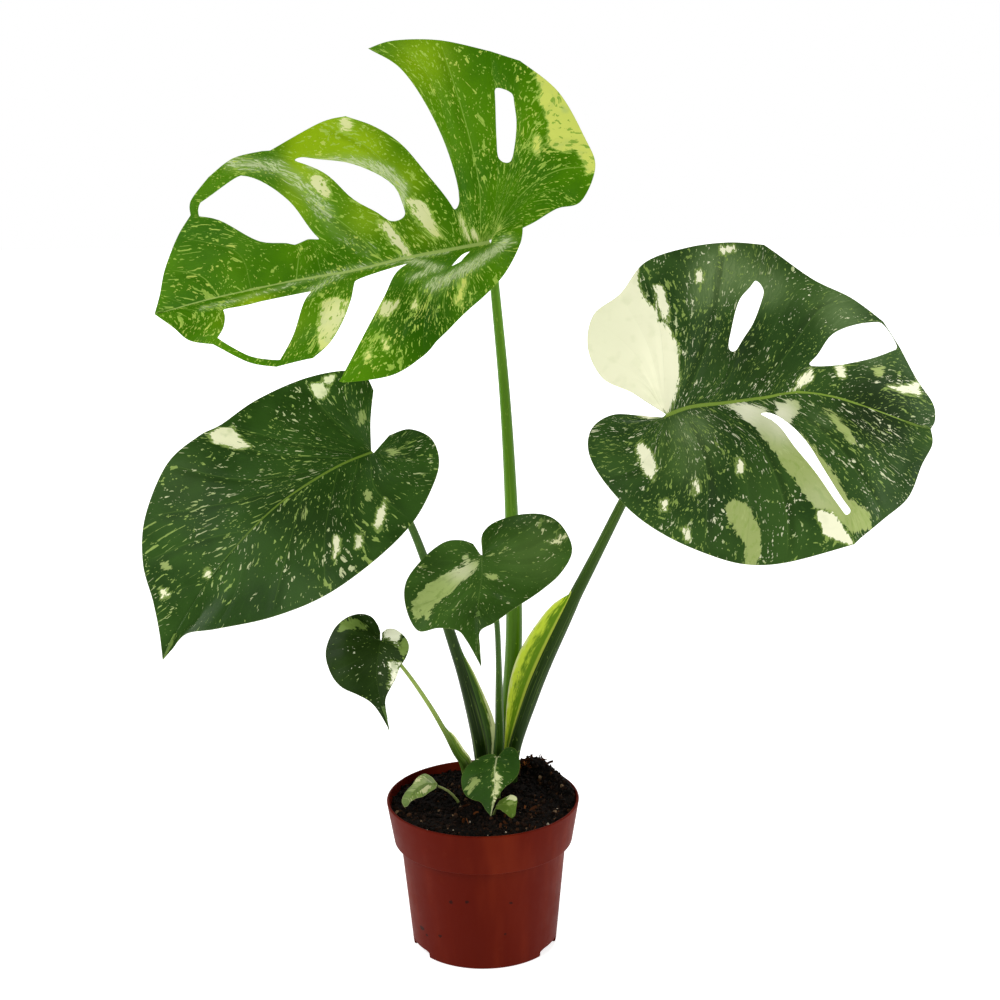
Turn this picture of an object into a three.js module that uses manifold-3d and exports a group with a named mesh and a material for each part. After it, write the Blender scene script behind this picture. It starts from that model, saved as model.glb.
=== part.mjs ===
// A potted monstera with marbled leaves in a round nursery pot.
// Millimetres, +Z up. The origin is the middle of the pot's flat base, and -Y is the front.
import * as THREE from 'three';
import { mergeVertices } from 'three/addons/utils/BufferGeometryUtils.js';
import Module from 'manifold-3d';

const wasm = await Module();
wasm.setup();

// Driving dimensions
const potHeight = 96;
const rimRadius = 60;
const baseRadius = 45;
const collarHeight = 27;
const collarStep = 4;
const potWall = 1.6;
const potFloor = 2.2;
const notchHeight = 4.5;
const notchWidth = 23;
const notchAzimuths = [-64.5, 64.5, 180];
const soilLevel = 91;
const bladeThickness = 1.2;
const gap = 0.3;
const mergeWithin = 0.2;
const crownAt = [9.5, 23];

// Colours
const leafGreen = 0x35591f;
const youngGreen = 0x5d9a1c;
const stemGreen = 0x3f6b1a;
const potRed = 0x6b2414;
const soilBrown = 0x1d120c;

const vec = (p) => new THREE.Vector3(p[0], p[1], p[2]);
const lerp = THREE.MathUtils.lerp;
const rad = THREE.MathUtils.degToRad;

function leather(color) {
  return new THREE.MeshStandardMaterial({ color, roughness: 0.45, metalness: 0 });
}

// Catmull-Rom through four neighbouring points, between the second and the third
function between(a, b, c, d, t) {
  const point = new THREE.Vector3();
  for (const axis of ['x', 'y', 'z']) {
    const m = (c[axis] - a[axis]) / 2;
    const n = (d[axis] - b[axis]) / 2;
    const rise = c[axis] - b[axis];
    point[axis] = b[axis] + m * t + (3 * rise - 2 * m - n) * t * t + (m + n - 2 * rise) * t ** 3;
  }
  return point;
}

// Height of a half circle over a width of 1
function halfCircle(across) {
  return Math.sqrt(Math.max(0, 1 - (2 * across - 1) ** 2));
}

// One half of a blade is a fan of veins. Each vein leaves the midrib at a fraction of its length and passes
// through its points to the margin. An opening lies between two veins, from one fraction of them to another.
function halfBlade(half, midrib, ribWidth, rows) {
  const rootAt = (start) => {
    const root = midrib.getPoint(start);
    root.x += half.side * ribWidth * (1 - start);
    return root;
  };
  const veins = half.veins.map(([start, ...points]) => (
    new THREE.CatmullRomCurve3([rootAt(start), ...points.map(vec)], false, 'centripetal')
  ));
  const openings = half.openings ?? [];
  const innerRow = Math.round(rows * 0.4);
  const outerRow = Math.round(rows * 0.8);

  // Where along its vein each row lies, so that two of the rows meet the ends of the openings
  const innerAt = knots(half, (o) => o.inner, 0.4, veins.length);
  const outerAt = knots(half, (o) => o.outer ?? o.inner.map(() => 0.8), 0.8, veins.length);
  const along = (row, inner, outer) => {
    if (row <= innerRow) return (inner * row) / innerRow;
    if (row <= outerRow) return lerp(inner, outer, (row - innerRow) / (outerRow - innerRow));
    return lerp(outer, 1, (row - outerRow) / (rows - outerRow));
  };

  const columns = [];
  const addColumns = (first, last, steps, opening) => {
    for (let vein = first; vein < last; vein += 1) {
      for (let step = hasColumn(columns, vein) ? 1 : 0; step <= steps; step += 1) {
        const t = step / steps;
        const across = (vein - first + t) / (last - first);
        const bulge = opening ? (opening.round ?? 0.03) * halfCircle(across) : 0;
        const inner = lerp(innerAt[vein], innerAt[vein + 1], t) - bulge;
        const outer = lerp(outerAt[vein], outerAt[vein + 1], t) + (opening?.outer ? bulge * 0.6 : 0);
        const points = [rootAt(lerp(half.veins[vein][0], half.veins[vein + 1][0], t))];
        for (let row = 1; row <= rows; row += 1) {
          const r = Math.min(1, along(row, inner, outer));
          const at = (index) => veins[THREE.MathUtils.clamp(index, first, last)].getPointAt(r);
          points.push(between(at(vein - 1), at(vein), at(vein + 1), at(vein + 2), t));
        }
        columns.push({ points, vein: vein + t, opening: step > 0 ? opening : null });
      }
    }
  };
  let vein = 0;
  for (const opening of openings) {
    if (opening.from > vein) addColumns(vein, opening.from, half.steps ?? 2, null);
    addColumns(opening.from, opening.to, opening.steps ?? 4, opening);
    vein = opening.to;
  }
  if (vein < veins.length - 1) addColumns(vein, veins.length - 1, half.steps ?? 2, null);
  return { columns, innerRow, outerRow, rows, side: half.side };
}

// A stretch starts on the column that the one before it ended on
function hasColumn(columns, vein) {
  return columns.length > 0 && Math.abs(columns[columns.length - 1].vein - vein) < 1e-6;
}

// A value for every vein from those given at the openings, straight lines between them, and the plain value
// at the veins that the half names as calm
function knots(half, values, fallback, count) {
  const known = (half.calm ?? []).map((vein) => [vein, fallback]);
  for (const opening of half.openings ?? []) {
    values(opening).forEach((value, i) => {
      known.push([opening.from + i, value]);
    });
  }
  known.sort((a, b) => a[0] - b[0]);
  if (!known.length) return Array(count).fill(fallback);
  return Array.from({ length: count }, (_, vein) => {
    const after = known.find(([at]) => at >= vein) ?? known[known.length - 1];
    const before = [...known].reverse().find(([at]) => at <= vein) ?? known[0];
    if (after[0] === before[0]) return before[1];
    return lerp(before[1], after[1], (vein - before[0]) / (after[0] - before[0]));
  });
}

// A blade: both halves joined along a narrow midrib strip, thickened to a closed sheet, and grown all round
function bladeGeometry(blade, growth = 0) {
  const midrib = new THREE.CatmullRomCurve3([[0, 0, 0], ...blade.midrib].map(vec), false, 'centripetal');
  const rows = blade.rows ?? 8;
  const ribWidth = blade.ribWidth ?? 1.2;
  const points = [];
  const triangles = [];
  const number = (p) => {
    const near = points.findIndex((other) => other.distanceToSquared(p) < mergeWithin ** 2);
    if (near >= 0) return near;
    return points.push(p.clone()) - 1;
  };
  const face = (a, b, c) => {
    if (a !== b && b !== c && c !== a) triangles.push([a, b, c]);
  };
  const ribs = blade.halves.map((half) => {
    const grid = halfBlade(half, midrib, ribWidth, rows);
    const ids = grid.columns.map((column) => column.points.map(number));
    for (let i = 0; i + 1 < ids.length; i += 1) {
      const { opening } = grid.columns[i + 1];
      for (let row = 0; row < rows; row += 1) {
        if (opening && row >= grid.innerRow && (row < grid.outerRow || !opening.outer)) continue;
        const [a, b, c, d] = [ids[i][row], ids[i + 1][row], ids[i + 1][row + 1], ids[i][row + 1]];
        if (grid.side > 0) {
          face(a, c, b);
          face(a, d, c);
        } else {
          face(a, b, c);
          face(a, c, d);
        }
      }
    }
    return ids.map((column) => column[0]).filter((id, i, all) => i === 0 || id !== all[i - 1]);
  });
  zip(points, ribs[0], ribs[1], blade.halves[0].side, face);
  return thicken(points, triangles, growth);
}

// Triangles between the two sides of the midrib strip, from the leaf's base to its tip
function zip(points, first, second, side, face) {
  let i = 0;
  let j = 0;
  while (i < first.length - 1 || j < second.length - 1) {
    const a = first[i];
    const b = second[j];
    const stepFirst = j === second.length - 1
      || (i < first.length - 1 && points[first[i + 1]].y < points[second[j + 1]].y);
    const next = stepFirst ? first[i + 1] : second[j + 1];
    if (side > 0) face(a, next, b);
    else face(a, b, next);
    if (stepFirst) i += 1;
    else j += 1;
  }
}

function thicken(points, triangles, growth) {
  const edges = new Set(triangles.flatMap(([a, b, c]) => [`${a},${b}`, `${b},${c}`, `${c},${a}`]));
  const normals = points.map(() => new THREE.Vector3());
  const outward = points.map(() => new THREE.Vector3());
  const rim = [];
  for (const [a, b, c] of triangles) {
    const normal = new THREE.Triangle(points[a], points[b], points[c]).getNormal(new THREE.Vector3());
    for (const id of [a, b, c]) normals[id].add(normal);
    for (const [p, q] of [[a, b], [b, c], [c, a]]) {
      if (edges.has(`${q},${p}`)) continue;
      rim.push([p, q]);
      const away = points[q].clone().sub(points[p]).cross(normal).normalize();
      for (const id of [p, q]) outward[id].add(away);
    }
  }
  for (const list of [normals, outward]) list.forEach((direction) => direction.normalize());
  const half = halfThickness(points, triangles, normals);
  const positions = [];
  for (const side of [1, -1]) {
    points.forEach((p, id) => {
      const lifted = p.clone().addScaledVector(normals[id], side * (half[id] + growth));
      positions.push(...lifted.addScaledVector(outward[id], growth));
    });
  }
  const under = points.length;
  const index = [];
  for (const [a, b, c] of triangles) index.push(a, b, c, under + a, under + c, under + b);
  for (const [p, q] of rim) index.push(p, under + p, under + q, p, under + q, q);
  const geometry = new THREE.BufferGeometry();
  geometry.setAttribute('position', new THREE.Float32BufferAttribute(positions, 3));
  geometry.setIndex(index);
  return geometry;
}

// Half the thickness at each point, which is less where the sheet bends too sharply for the full one
function halfThickness(points, triangles, normals) {
  const half = points.map(() => bladeThickness / 2);
  const normalOf = (corners) => new THREE.Triangle(...corners).getNormal(new THREE.Vector3());
  for (let pass = 0; pass < 10; pass += 1) {
    for (const ids of triangles) {
      const flat = normalOf(ids.map((id) => points[id]));
      for (const side of [1, -1]) {
        const lifted = ids.map((id) => points[id].clone().addScaledVector(normals[id], side * half[id]));
        if (normalOf(lifted).dot(flat) > 0.5) continue;
        for (const id of ids) half[id] *= 0.8;
      }
    }
  }
  return half;
}

// Turns a blade so that its face looks along an elevation and azimuth, and its tip points along toTip
function placeBlade(mesh, blade) {
  const [elevation, azimuth] = blade.face.map(rad);
  const out = Math.cos(elevation);
  const face = new THREE.Vector3(Math.sin(azimuth) * out, -Math.cos(azimuth) * out, Math.sin(elevation));
  const tip = vec(blade.toTip);
  tip.addScaledVector(face, -tip.dot(face)).normalize();
  const basis = new THREE.Matrix4().makeBasis(tip.clone().cross(face), tip, face);
  mesh.position.copy(vec(blade.at));
  mesh.setRotationFromMatrix(basis);
}

// A stem is lofted along its route. Each entry is [x, y, z, radius, wing], the wing being how far the thin
// sheath reaches past the stem on one side.
function stemGeometry(stem, steps = 12, extra = 0) {
  const route = new THREE.CatmullRomCurve3(stem.route.map(vec), false, 'centripetal');
  const last = stem.route.length - 1;
  const wingTo = vec(stem.wingTo ?? [-1, 0, 0]);
  const around = stem.around ?? 12;
  const half = 0.6;
  const rings = [];
  for (let step = 0; step <= steps; step += 1) {
    const t = step / steps;
    const centre = route.getPoint(t);
    const tangent = route.getTangent(t);
    const across = wingTo.clone().addScaledVector(tangent, -wingTo.dot(tangent)).normalize();
    const up = tangent.clone().cross(across);
    const i = Math.min(last - 1, Math.floor(t * last));
    const radius = lerp(stem.route[i][3], stem.route[i + 1][3], t * last - i);
    const wing = lerp(stem.route[i][4] ?? 0, stem.route[i + 1][4] ?? 0, t * last - i);
    const ring = [];
    for (let k = 0; k < around; k += 1) {
      const angle = (2 * Math.PI * (k + 0.5)) / around;
      const outer = k === 0 || k === around - 1;
      const x = radius * Math.cos(angle) + (outer ? wing : 0);
      const y = outer && wing > 0.5 ? Math.sign(Math.sin(angle)) * half : radius * Math.sin(angle);
      ring.push(centre.clone().addScaledVector(across, x).addScaledVector(up, y));
    }
    if (extra) {
      for (const p of ring) p.add(p.clone().sub(centre).setLength(extra));
    }
    rings.push({ ring, centre });
  }
  if (extra) {
    const start = rings[0].centre.clone().sub(rings[1].centre).setLength(extra);
    rings[0].centre.add(start);
    for (const p of rings[0].ring) p.add(start);
  }
  return loft(rings, around);
}

function loft(rings, around) {
  const positions = [];
  const index = [];
  const addPoint = (p) => {
    positions.push(p.x, p.y, p.z);
  };
  rings.forEach(({ ring }) => ring.forEach(addPoint));
  addPoint(rings[0].centre);
  addPoint(rings[rings.length - 1].centre);
  const bottom = rings.length * around;
  for (let k = 0; k < around; k += 1) {
    const next = (k + 1) % around;
    for (let i = 0; i + 1 < rings.length; i += 1) {
      const [a, b] = [i * around + k, i * around + next];
      index.push(a, b, b + around, a, b + around, a + around);
    }
    const top = (rings.length - 1) * around;
    index.push(bottom, next, k, bottom + 1, top + k, top + next);
  }
  const geometry = new THREE.BufferGeometry();
  geometry.setAttribute('position', new THREE.Float32BufferAttribute(positions, 3));
  geometry.setIndex(index);
  return geometry;
}

// Booleans on closed meshes
function toSolid(geometry, matrix) {
  const plain = geometry.clone();
  plain.deleteAttribute('normal');
  plain.deleteAttribute('uv');
  if (matrix) plain.applyMatrix4(matrix);
  const merged = mergeVertices(plain, 1e-4);
  return new wasm.Manifold(new wasm.Mesh({
    numProp: 3,
    vertProperties: new Float32Array(merged.attributes.position.array),
    triVerts: new Uint32Array(merged.index.array),
  }));
}

// The largest body of a cut solid, as a geometry
function toGeometry(solid) {
  const bodies = solid.decompose().sort((a, b) => b.volume() - a.volume());
  const mesh = bodies[0].getMesh();
  const geometry = new THREE.BufferGeometry();
  geometry.setAttribute('position', new THREE.BufferAttribute(new Float32Array(mesh.vertProperties), 3));
  geometry.setIndex(new THREE.BufferAttribute(new Uint32Array(mesh.triVerts), 1));
  return geometry;
}

const top = {
  at: [9, 8, 447], face: [55, -10], toTip: [-0.98, -0.09, -0.18],
  color: youngGreen, ribWidth: 2,
  midrib: [[-1, 26, 2], [-2, 49, 4], [-5, 82, 6], [-3, 118, 6], [-2, 145, 5], [-1, 173, 3], [0, 201, 0]],
  halves: [
    {
      side: 1,
      veins: [
        [0, [3, -16, 1]],
        [0, [6, -16, 3], [6, -28, 2]],
        [0, [13, -21, 6], [11, -43, 4]],
        [0, [18, -26, 9], [21, -44, 9], [12, -58, 5]],
        [0, [24, -27, 11], [31, -50, 15], [30, -71, 12]],
        [0, [28, -22, 13], [49, -47, 22], [48, -69, 20]],
        [0, [26, -17, 12], [57, -38, 27], [77, -60, 33]],
        [0.01, [22, -11, 10], [41, -20, 19], [61, -30, 29], [82, -31, 38], [98, -42, 44]],
        [0.015, [22, -9, 10], [43, -17, 20], [63, -20, 29], [82, -27, 38], [106, -26, 49]],
        [0.03, [29, -1, 14], [64, -2, 30], [118, 2, 55]],
        [0.05, [17, 10, 8], [49, 9, 23], [97, 13, 45], [124, 29, 57]],
        [0.07, [20, 13, 9], [35, 11, 16], [70, 15, 33], [107, 29, 50], [124, 45, 55]],
        [0.08, [22, 16, 9], [47, 28, 21], [66, 39, 30], [78, 52, 36], [87, 67, 40]],
        [0.12, [20, 31, 10], [39, 42, 19], [65, 57, 31], [88, 83, 38]],
        [0.18, [26, 44, 12], [42, 48, 20], [58, 68, 28], [67, 93, 32], [77, 115, 35]],
        [0.27, [25, 57, 12], [39, 73, 19], [57, 87, 28], [78, 120, 35]],
        [0.35, [22, 77, 10], [44, 98, 21], [70, 121, 32], [78, 138, 34]],
        [0.42, [24, 99, 11], [47, 111, 22], [64, 130, 30], [70, 154, 31]],
        [0.5, [23, 104, 10], [42, 130, 20], [59, 167, 26]],
        [0.56, [20, 112, 10], [27, 132, 13], [45, 154, 20], [51, 169, 22]],
        [0.7, [23, 146, 11], [41, 179, 17]],
        [0.8, [15, 170, 7], [24, 190, 10]],
        [0.9, [10, 196, 4]],
        [1, [0, 201, 0]],
      ],
      openings: [
        { from: 7, to: 8, inner: [0.45, 0.45], outer: [0.8, 0.8], round: 0.02 },
        { from: 11, to: 12, inner: [0.2, 0.22], round: 0.02 },
        { from: 14, to: 15, inner: [0.27, 0.26], outer: [0.82, 0.8], round: 0.05 },
        { from: 17, to: 19, inner: [0.28, 0.29, 0.28], outer: [0.83, 0.93, 0.94], round: 0.02 },
      ],
    },
    {
      side: -1,
      veins: [
        [0, [-2, -10, 1], [2, -21, 1]],
        [0, [-8, -8, 4], [-12, -16, 6]],
        [0, [-20, -2, 10], [-31, -2, 15], [-41, -4, 17]],
        [0, [-20, 6, 10], [-38, 11, 17], [-53, 10, 15]],
        [0.02, [-20, 13, 10], [-39, 20, 17], [-60, 24, 11]],
        [0.05, [-20, 20, 10], [-41, 30, 18], [-56, 36, 13], [-67, 36, 7]],
        [0.07, [-20, 25, 9], [-40, 34, 17], [-58, 42, 12], [-71, 44, 4]],
        [0.1, [-20, 30, 9], [-39, 38, 17], [-59, 48, 11], [-76, 53, 0]],
        [0.15, [-18, 37, 9], [-33, 45, 15], [-61, 60, 10], [-81, 73, -5]],
        [0.2, [-25, 51, 12], [-54, 68, 13], [-68, 86, 1], [-76, 101, -8]],
        [0.24, [-14, 56, 8], [-41, 68, 17], [-57, 82, 10], [-74, 102, -7]],
        [0.41, [-16, 82, 9], [-37, 87, 16], [-48, 94, 12], [-56, 104, 5], [-60, 115, 0]],
        [0.45, [-15, 92, 9], [-29, 97, 13], [-47, 109, 9], [-59, 123, -1]],
        [0.5, [-11, 104, 7], [-26, 113, 12], [-46, 124, 6], [-57, 137, -4]],
        [0.7, [-14, 139, 9], [-29, 141, 11], [-40, 147, 5], [-50, 152, -3]],
        [0.87, [-14, 161, 7], [-29, 162, 8], [-36, 170, 3]],
        [0.92, [-15, 176, 6], [-30, 183, 4]],
        [0.97, [-18, 191, 5]],
        [1, [0, 201, 0]],
      ],
      openings: [
        { from: 5, to: 6, inner: [0.1, 0.12], outer: [0.28, 0.3], round: 0.02, steps: 3 },
        { from: 10, to: 11, inner: [0.1, 0.16], round: 0.02 },
        { from: 13, to: 15, inner: [0.22, 0.3, 0.45], outer: [0.93, 0.92, 0.9], round: 0.02, steps: 3 },
      ],
      calm: [3, 8],
    },
  ],
};

const right = {
  at: [112, -8, 344], face: [42, 12], toTip: [0.99, 0.12, -0.1],
  color: leafGreen, ribWidth: 1.8,
  midrib: [[-4, 14, 5], [-5, 35, 11], [-7, 56, 16], [-11, 78, 18], [-9, 101, 17], [-5, 124, 12], [-1, 148, 5],
    [0, 163, 0]],
  halves: [
    {
      side: -1,
      veins: [
        [0, [-7, -13, 4], [-13, -22, 4]],
        [0, [-15, -14, 6], [-20, -38, 5]],
        [0, [-20, -15, 8], [-38, -47, 8]],
        [0, [-32, -18, 12], [-58, -44, 13]],
        [0, [-40, -12, 14], [-71, -28, 18]],
        [0, [-45, -4, 16], [-91, -13, 22]],
        [0.04, [-54, 13, 20], [-100, 12, 27]],
        [0.1, [-53, 28, 24], [-103, 37, 31]],
        [0.16, [-19, 31, 15], [-42, 36, 23], [-65, 42, 29], [-77, 51, 31], [-101, 58, 34]],
        [0.19, [-18, 35, 15], [-38, 42, 22], [-51, 50, 27], [-70, 57, 31], [-95, 65, 35]],
        [0.27, [-38, 57, 25], [-65, 72, 32], [-79, 87, 34]],
        [0.35, [-35, 72, 25], [-60, 91, 31], [-70, 111, 30]],
        [0.42, [-20, 72, 21], [-31, 87, 24], [-46, 98, 27], [-54, 114, 27], [-58, 131, 25]],
        [0.5, [-24, 85, 22], [-29, 105, 22], [-35, 124, 21], [-44, 142, 19]],
        [0.62, [-21, 119, 18], [-27, 153, 12]],
        [0.76, [-12, 139, 11], [-15, 164, 5]],
        [0.9, [-6, 166, 1]],
        [1, [0, 163, 0]],
      ],
      openings: [
        { from: 8, to: 9, inner: [0.4, 0.4], outer: [0.76, 0.72], round: 0.06 },
        { from: 12, to: 13, inner: [0.36, 0.34], outer: [0.96, 0.96], round: 0.06 },
      ],
    },
    {
      side: 1,
      veins: [
        [0, [1, -13, 0]],
        [0, [4, -21, 0], [0, -31, -2]],
        [0, [11, -24, 2], [9, -44, -3]],
        [0, [22, -23, 3], [25, -47, -2]],
        [0, [36, -18, 5], [44, -40, 1]],
        [0, [40, -8, 6], [65, -24, 3]],
        [0.03, [36, 8, 8], [79, -5, 3]],
        [0.08, [40, 20, 11], [90, 18, 4]],
        [0.14, [20, 36, 13], [60, 44, 14], [97, 41, 6]],
        [0.2, [21, 50, 15], [66, 65, 16], [96, 66, 9]],
        [0.26, [8, 62, 15], [26, 73, 18], [42, 84, 19], [58, 94, 18], [68, 101, 16], [84, 106, 12]],
        [0.3, [5, 66, 15], [19, 79, 17], [41, 90, 19], [57, 99, 18], [67, 106, 16], [80, 110, 12]],
        [0.38, [19, 95, 17], [51, 116, 16], [67, 125, 12]],
        [0.5, [17, 114, 15], [51, 142, 10]],
        [0.65, [14, 130, 12], [28, 153, 7]],
        [0.85, [12, 162, 3]],
        [1, [0, 163, 0]],
      ],
      openings: [
        { from: 10, to: 11, inner: [0.19, 0.19], outer: [0.83, 0.83], round: 0.04 },
      ],
    },
  ],
};

const left = {
  at: [-62, -18, 327], face: [42, -15], toTip: [-0.7, -0.37, -0.6],
  color: leafGreen, ribWidth: 1.6,
  midrib: [[4, 17, 7], [6, 38, 15], [7, 68, 23], [6, 104, 23], [5, 130, 17], [3, 156, 7], [0, 174, -1]],
  halves: [
    {
      side: 1,
      veins: [
        [0, [14, -13, 3.5], [27, -28, 4]],
        [0, [19, -13, 6], [38, -31, 5]],
        [0, [27, -8, 7], [50, -24, 7]],
        [0, [32, 2, 9], [63, -3, 11]],
        [0.02, [35, 17, 14], [70, 26, 19]],
        [0.05, [35, 31, 18], [71, 51, 25]],
        [0.1, [34, 43, 21], [75, 66, 27]],
        [0.2, [34, 67, 25], [75, 91, 29]],
        [0.32, [34, 89, 26], [62, 122, 25]],
        [0.5, [29, 114, 23], [45, 142, 18]],
        [0.68, [16, 138, 16], [25, 154, 12]],
        [0.85, [11, 164, 6]],
        [1, [0, 174, -1]],
      ],
    },
    {
      side: -1,
      veins: [
        [0, [0, -14, 0]],
        [0, [-5, -10, 1], [-6, -25, -1]],
        [0, [-13, -11, 3], [-21, -29, 0]],
        [0, [-21, -8, 4], [-36, -22, 2]],
        [0, [-26, 3, 6], [-46, -8, 4]],
        [0.02, [-26, 18, 11], [-57, 18, 10]],
        [0.08, [-26, 38, 16], [-61, 50, 18]],
        [0.18, [-28, 59, 21], [-56, 85, 21]],
        [0.32, [-24, 88, 23], [-41, 115, 20]],
        [0.5, [-13, 118, 20], [-18, 141, 14]],
        [0.7, [-3, 140, 12], [-3, 154, 7]],
        [0.88, [-1, 166, 2]],
        [1, [0, 174, -1]],
      ],
    },
  ],
};

const middle = {
  at: [2, -60, 276], face: [50, 0], toTip: [0, -0.77, -0.64],
  color: leafGreen, rows: 5, ribWidth: 0.9,
  midrib: [[0, 16, 3], [2, 34, 5], [3, 50, 3], [1, 71, -6]],
  halves: [
    {
      side: 1,
      steps: 1,
      veins: [
        [0, [5, -7, 1]],
        [0, [12, -9, 2]],
        [0, [22, -7, 3]],
        [0, [19, 6, 4], [34, 3, 2]],
        [0.05, [24, 19, 5], [44, 19, 2]],
        [0.12, [27, 33, 6], [44, 36, 2]],
        [0.2, [26, 42, 6], [37, 52, 3]],
        [0.32, [25, 51, 4]],
        [0.45, [14, 53, 4]],
        [0.6, [9, 58, 1]],
        [0.8, [4, 66, -3]],
        [1, [1, 71, -6]],
      ],
    },
    {
      side: -1,
      steps: 1,
      veins: [
        [0, [0, -9, 0]],
        [0, [-1, -16, -1]],
        [0, [-8, -23, -1]],
        [0, [-12, -14, 2], [-23, -28, -1]],
        [0, [-21, -10, 3], [-38, -28, -2]],
        [0.05, [-28, -1, 3], [-48, -20, -3]],
        [0.1, [-28, 10, 4], [-53, -4, -3]],
        [0.18, [-24, 20, 5], [-46, 13, 0]],
        [0.28, [-16, 31, 6], [-33, 28, 4]],
        [0.4, [-19, 39, 5]],
        [0.55, [-7, 48, 4]],
        [0.66, [1.5, 53, 2]],
        [0.85, [1.2, 65, -3]],
        [1, [1, 71, -6]],
      ],
    },
  ],
};

const small = {
  at: [-58.5, -50, 220], face: [30, -8], toTip: [0.084, -0.511, -0.856],
  color: leafGreen, rows: 5, ribWidth: 0.7,
  midrib: [[2, 9, 3], [4, 24, 4], [3, 36, 3], [1, 46, 1], [0, 54, 0]],
  halves: [
    {
      side: 1,
      steps: 1,
      veins: [
        [0, [0, -5, 0]],
        [0, [1.5, -10, 0]],
        [0, [5, -15, 0]],
        [0, [12, -17.5, -1]],
        [0, [14, -9, 2], [21, -16, -3]],
        [0, [17, -5, 2], [29, -10, -5]],
        [0, [19, 2, 2], [35, 2, -7]],
        [0.1, [18, 12, 2], [33, 15, -6]],
        [0.22, [16, 20, 2], [27, 24.5, -4]],
        [0.4, [17, 31, -1]],
        [0.6, [10, 36, 0]],
        [0.78, [5, 43, 0]],
        [1, [0, 54, 0]],
      ],
    },
    {
      side: -1,
      steps: 1,
      veins: [
        [0, [-1, -4.5, -1]],
        [0, [-4, -7, -4]],
        [0, [-8.5, -6.5, -7.5]],
        [0, [-7, -1, -6], [-13, -2, -11.5]],
        [0, [-8, 4, -6], [-14.5, 3.5, -13]],
        [0.1, [-7, 8, -5], [-12.5, 10, -11]],
        [0.2, [-8.5, 16.5, -8]],
        [0.35, [-6, 23, -5.5]],
        [0.5, [-3, 28.5, -2.5]],
        [0.68, [0.5, 36, 0]],
        [0.85, [0.5, 46, 0]],
        [1, [0, 54, 0]],
      ],
    },
  ],
};

const front = {
  at: [9.1, 1, 122.4], face: [45, 0], toTip: [-0.107, -0.703, -0.703],
  color: leafGreen, rows: 4, ribWidth: 0.5,
  midrib: [[0.5, 9, 1], [-0.5, 19, 1], [-0.5, 29, 1], [0, 39, 0]],
  halves: [
    {
      side: 1,
      steps: 1,
      veins: [
        [0, [1.5, -1.5, 0.5]],
        [0, [5.5, -1, 1]],
        [0, [11.5, 2, 0.5]],
        [0, [17.5, 7, -0.5]],
        [0.1, [10, 12, 1.5], [20.5, 14, -1]],
        [0.2, [19.5, 22, -1]],
        [0.35, [16.5, 27, -0.5]],
        [0.5, [12, 29.5, 0]],
        [0.7, [7, 31, 0.5]],
        [0.87, [3.5, 35.5, 0]],
        [1, [0, 39, 0]],
      ],
    },
    {
      side: -1,
      steps: 1,
      veins: [
        [0, [-4.5, -6, 1]],
        [0, [-8, -7, 1]],
        [0, [-12, -5, 0.5]],
        [0, [-8, 1, 1], [-14.5, 2, -0.5]],
        [0.12, [-14.5, 8.5, -1]],
        [0.28, [-11.5, 14.5, -0.5]],
        [0.45, [-7, 19.5, 0.5]],
        [0.62, [-3.5, 25.5, 0.5]],
        [0.8, [-1.5, 31, 0]],
        [1, [0, 39, 0]],
      ],
    },
  ],
};

const sprout = {
  at: [-28.5, 4, 103.5], face: [70, -25], toTip: [-0.752, -0.583, -0.308],
  color: youngGreen, rows: 3, ribWidth: 0.4,
  midrib: [[4, 4, 1.5], [5.5, 11, 1.5], [3.5, 19, 1], [0, 27, 0]],
  halves: [
    {
      side: 1,
      steps: 1,
      veins: [
        [0, [5.5, -1.5, 0.5]],
        [0, [11.5, -2, 0]],
        [0.1, [14, -0.5, 0]],
        [0.25, [14.5, 4.5, 0]],
        [0.42, [12, 10, 0]],
        [0.6, [10.5, 16, 0]],
        [0.78, [8.5, 21, -0.5]],
        [0.9, [5.5, 24.5, -0.5]],
        [1, [0, 27, 0]],
      ],
    },
    {
      side: -1,
      steps: 1,
      veins: [
        [0, [-2.5, 3, 0]],
        [0.15, [-2, 7.5, 0]],
        [0.4, [-2, 13, 0]],
        [0.6, [0, 17, 0]],
        [0.78, [0.5, 21, 0]],
        [0.9, [-1, 25, 0]],
        [1, [0, 27, 0]],
      ],
    },
  ],
};

const shoot = {
  at: [8.2, -18, 97.8], face: [60, 10], toTip: [0.747, -0.543, -0.384],
  color: youngGreen, rows: 3, ribWidth: 0.4,
  midrib: [[-3, 2, 1], [-5, 5.5, 1], [-4, 10, 0.5], [0, 13, 0]],
  halves: [
    {
      side: 1,
      steps: 1,
      veins: [
        [0, [2, 1.5, 0]],
        [0.25, [0, 4, 0]],
        [0.55, [0, 8, 0]],
        [0.8, [0.5, 11, 0]],
        [1, [0, 13, 0]],
      ],
    },
    {
      side: -1,
      steps: 1,
      veins: [
        [0, [-4, -1, 0.5]],
        [0, [-8.5, 0, 0.5]],
        [0.15, [-13, 1, 0]],
        [0.35, [-14, 4.5, 0]],
        [0.55, [-12, 7, 0]],
        [0.75, [-7.5, 10, 0]],
        [0.9, [-3, 13, 0]],
        [1, [0, 13, 0]],
      ],
    },
  ],
};

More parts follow.
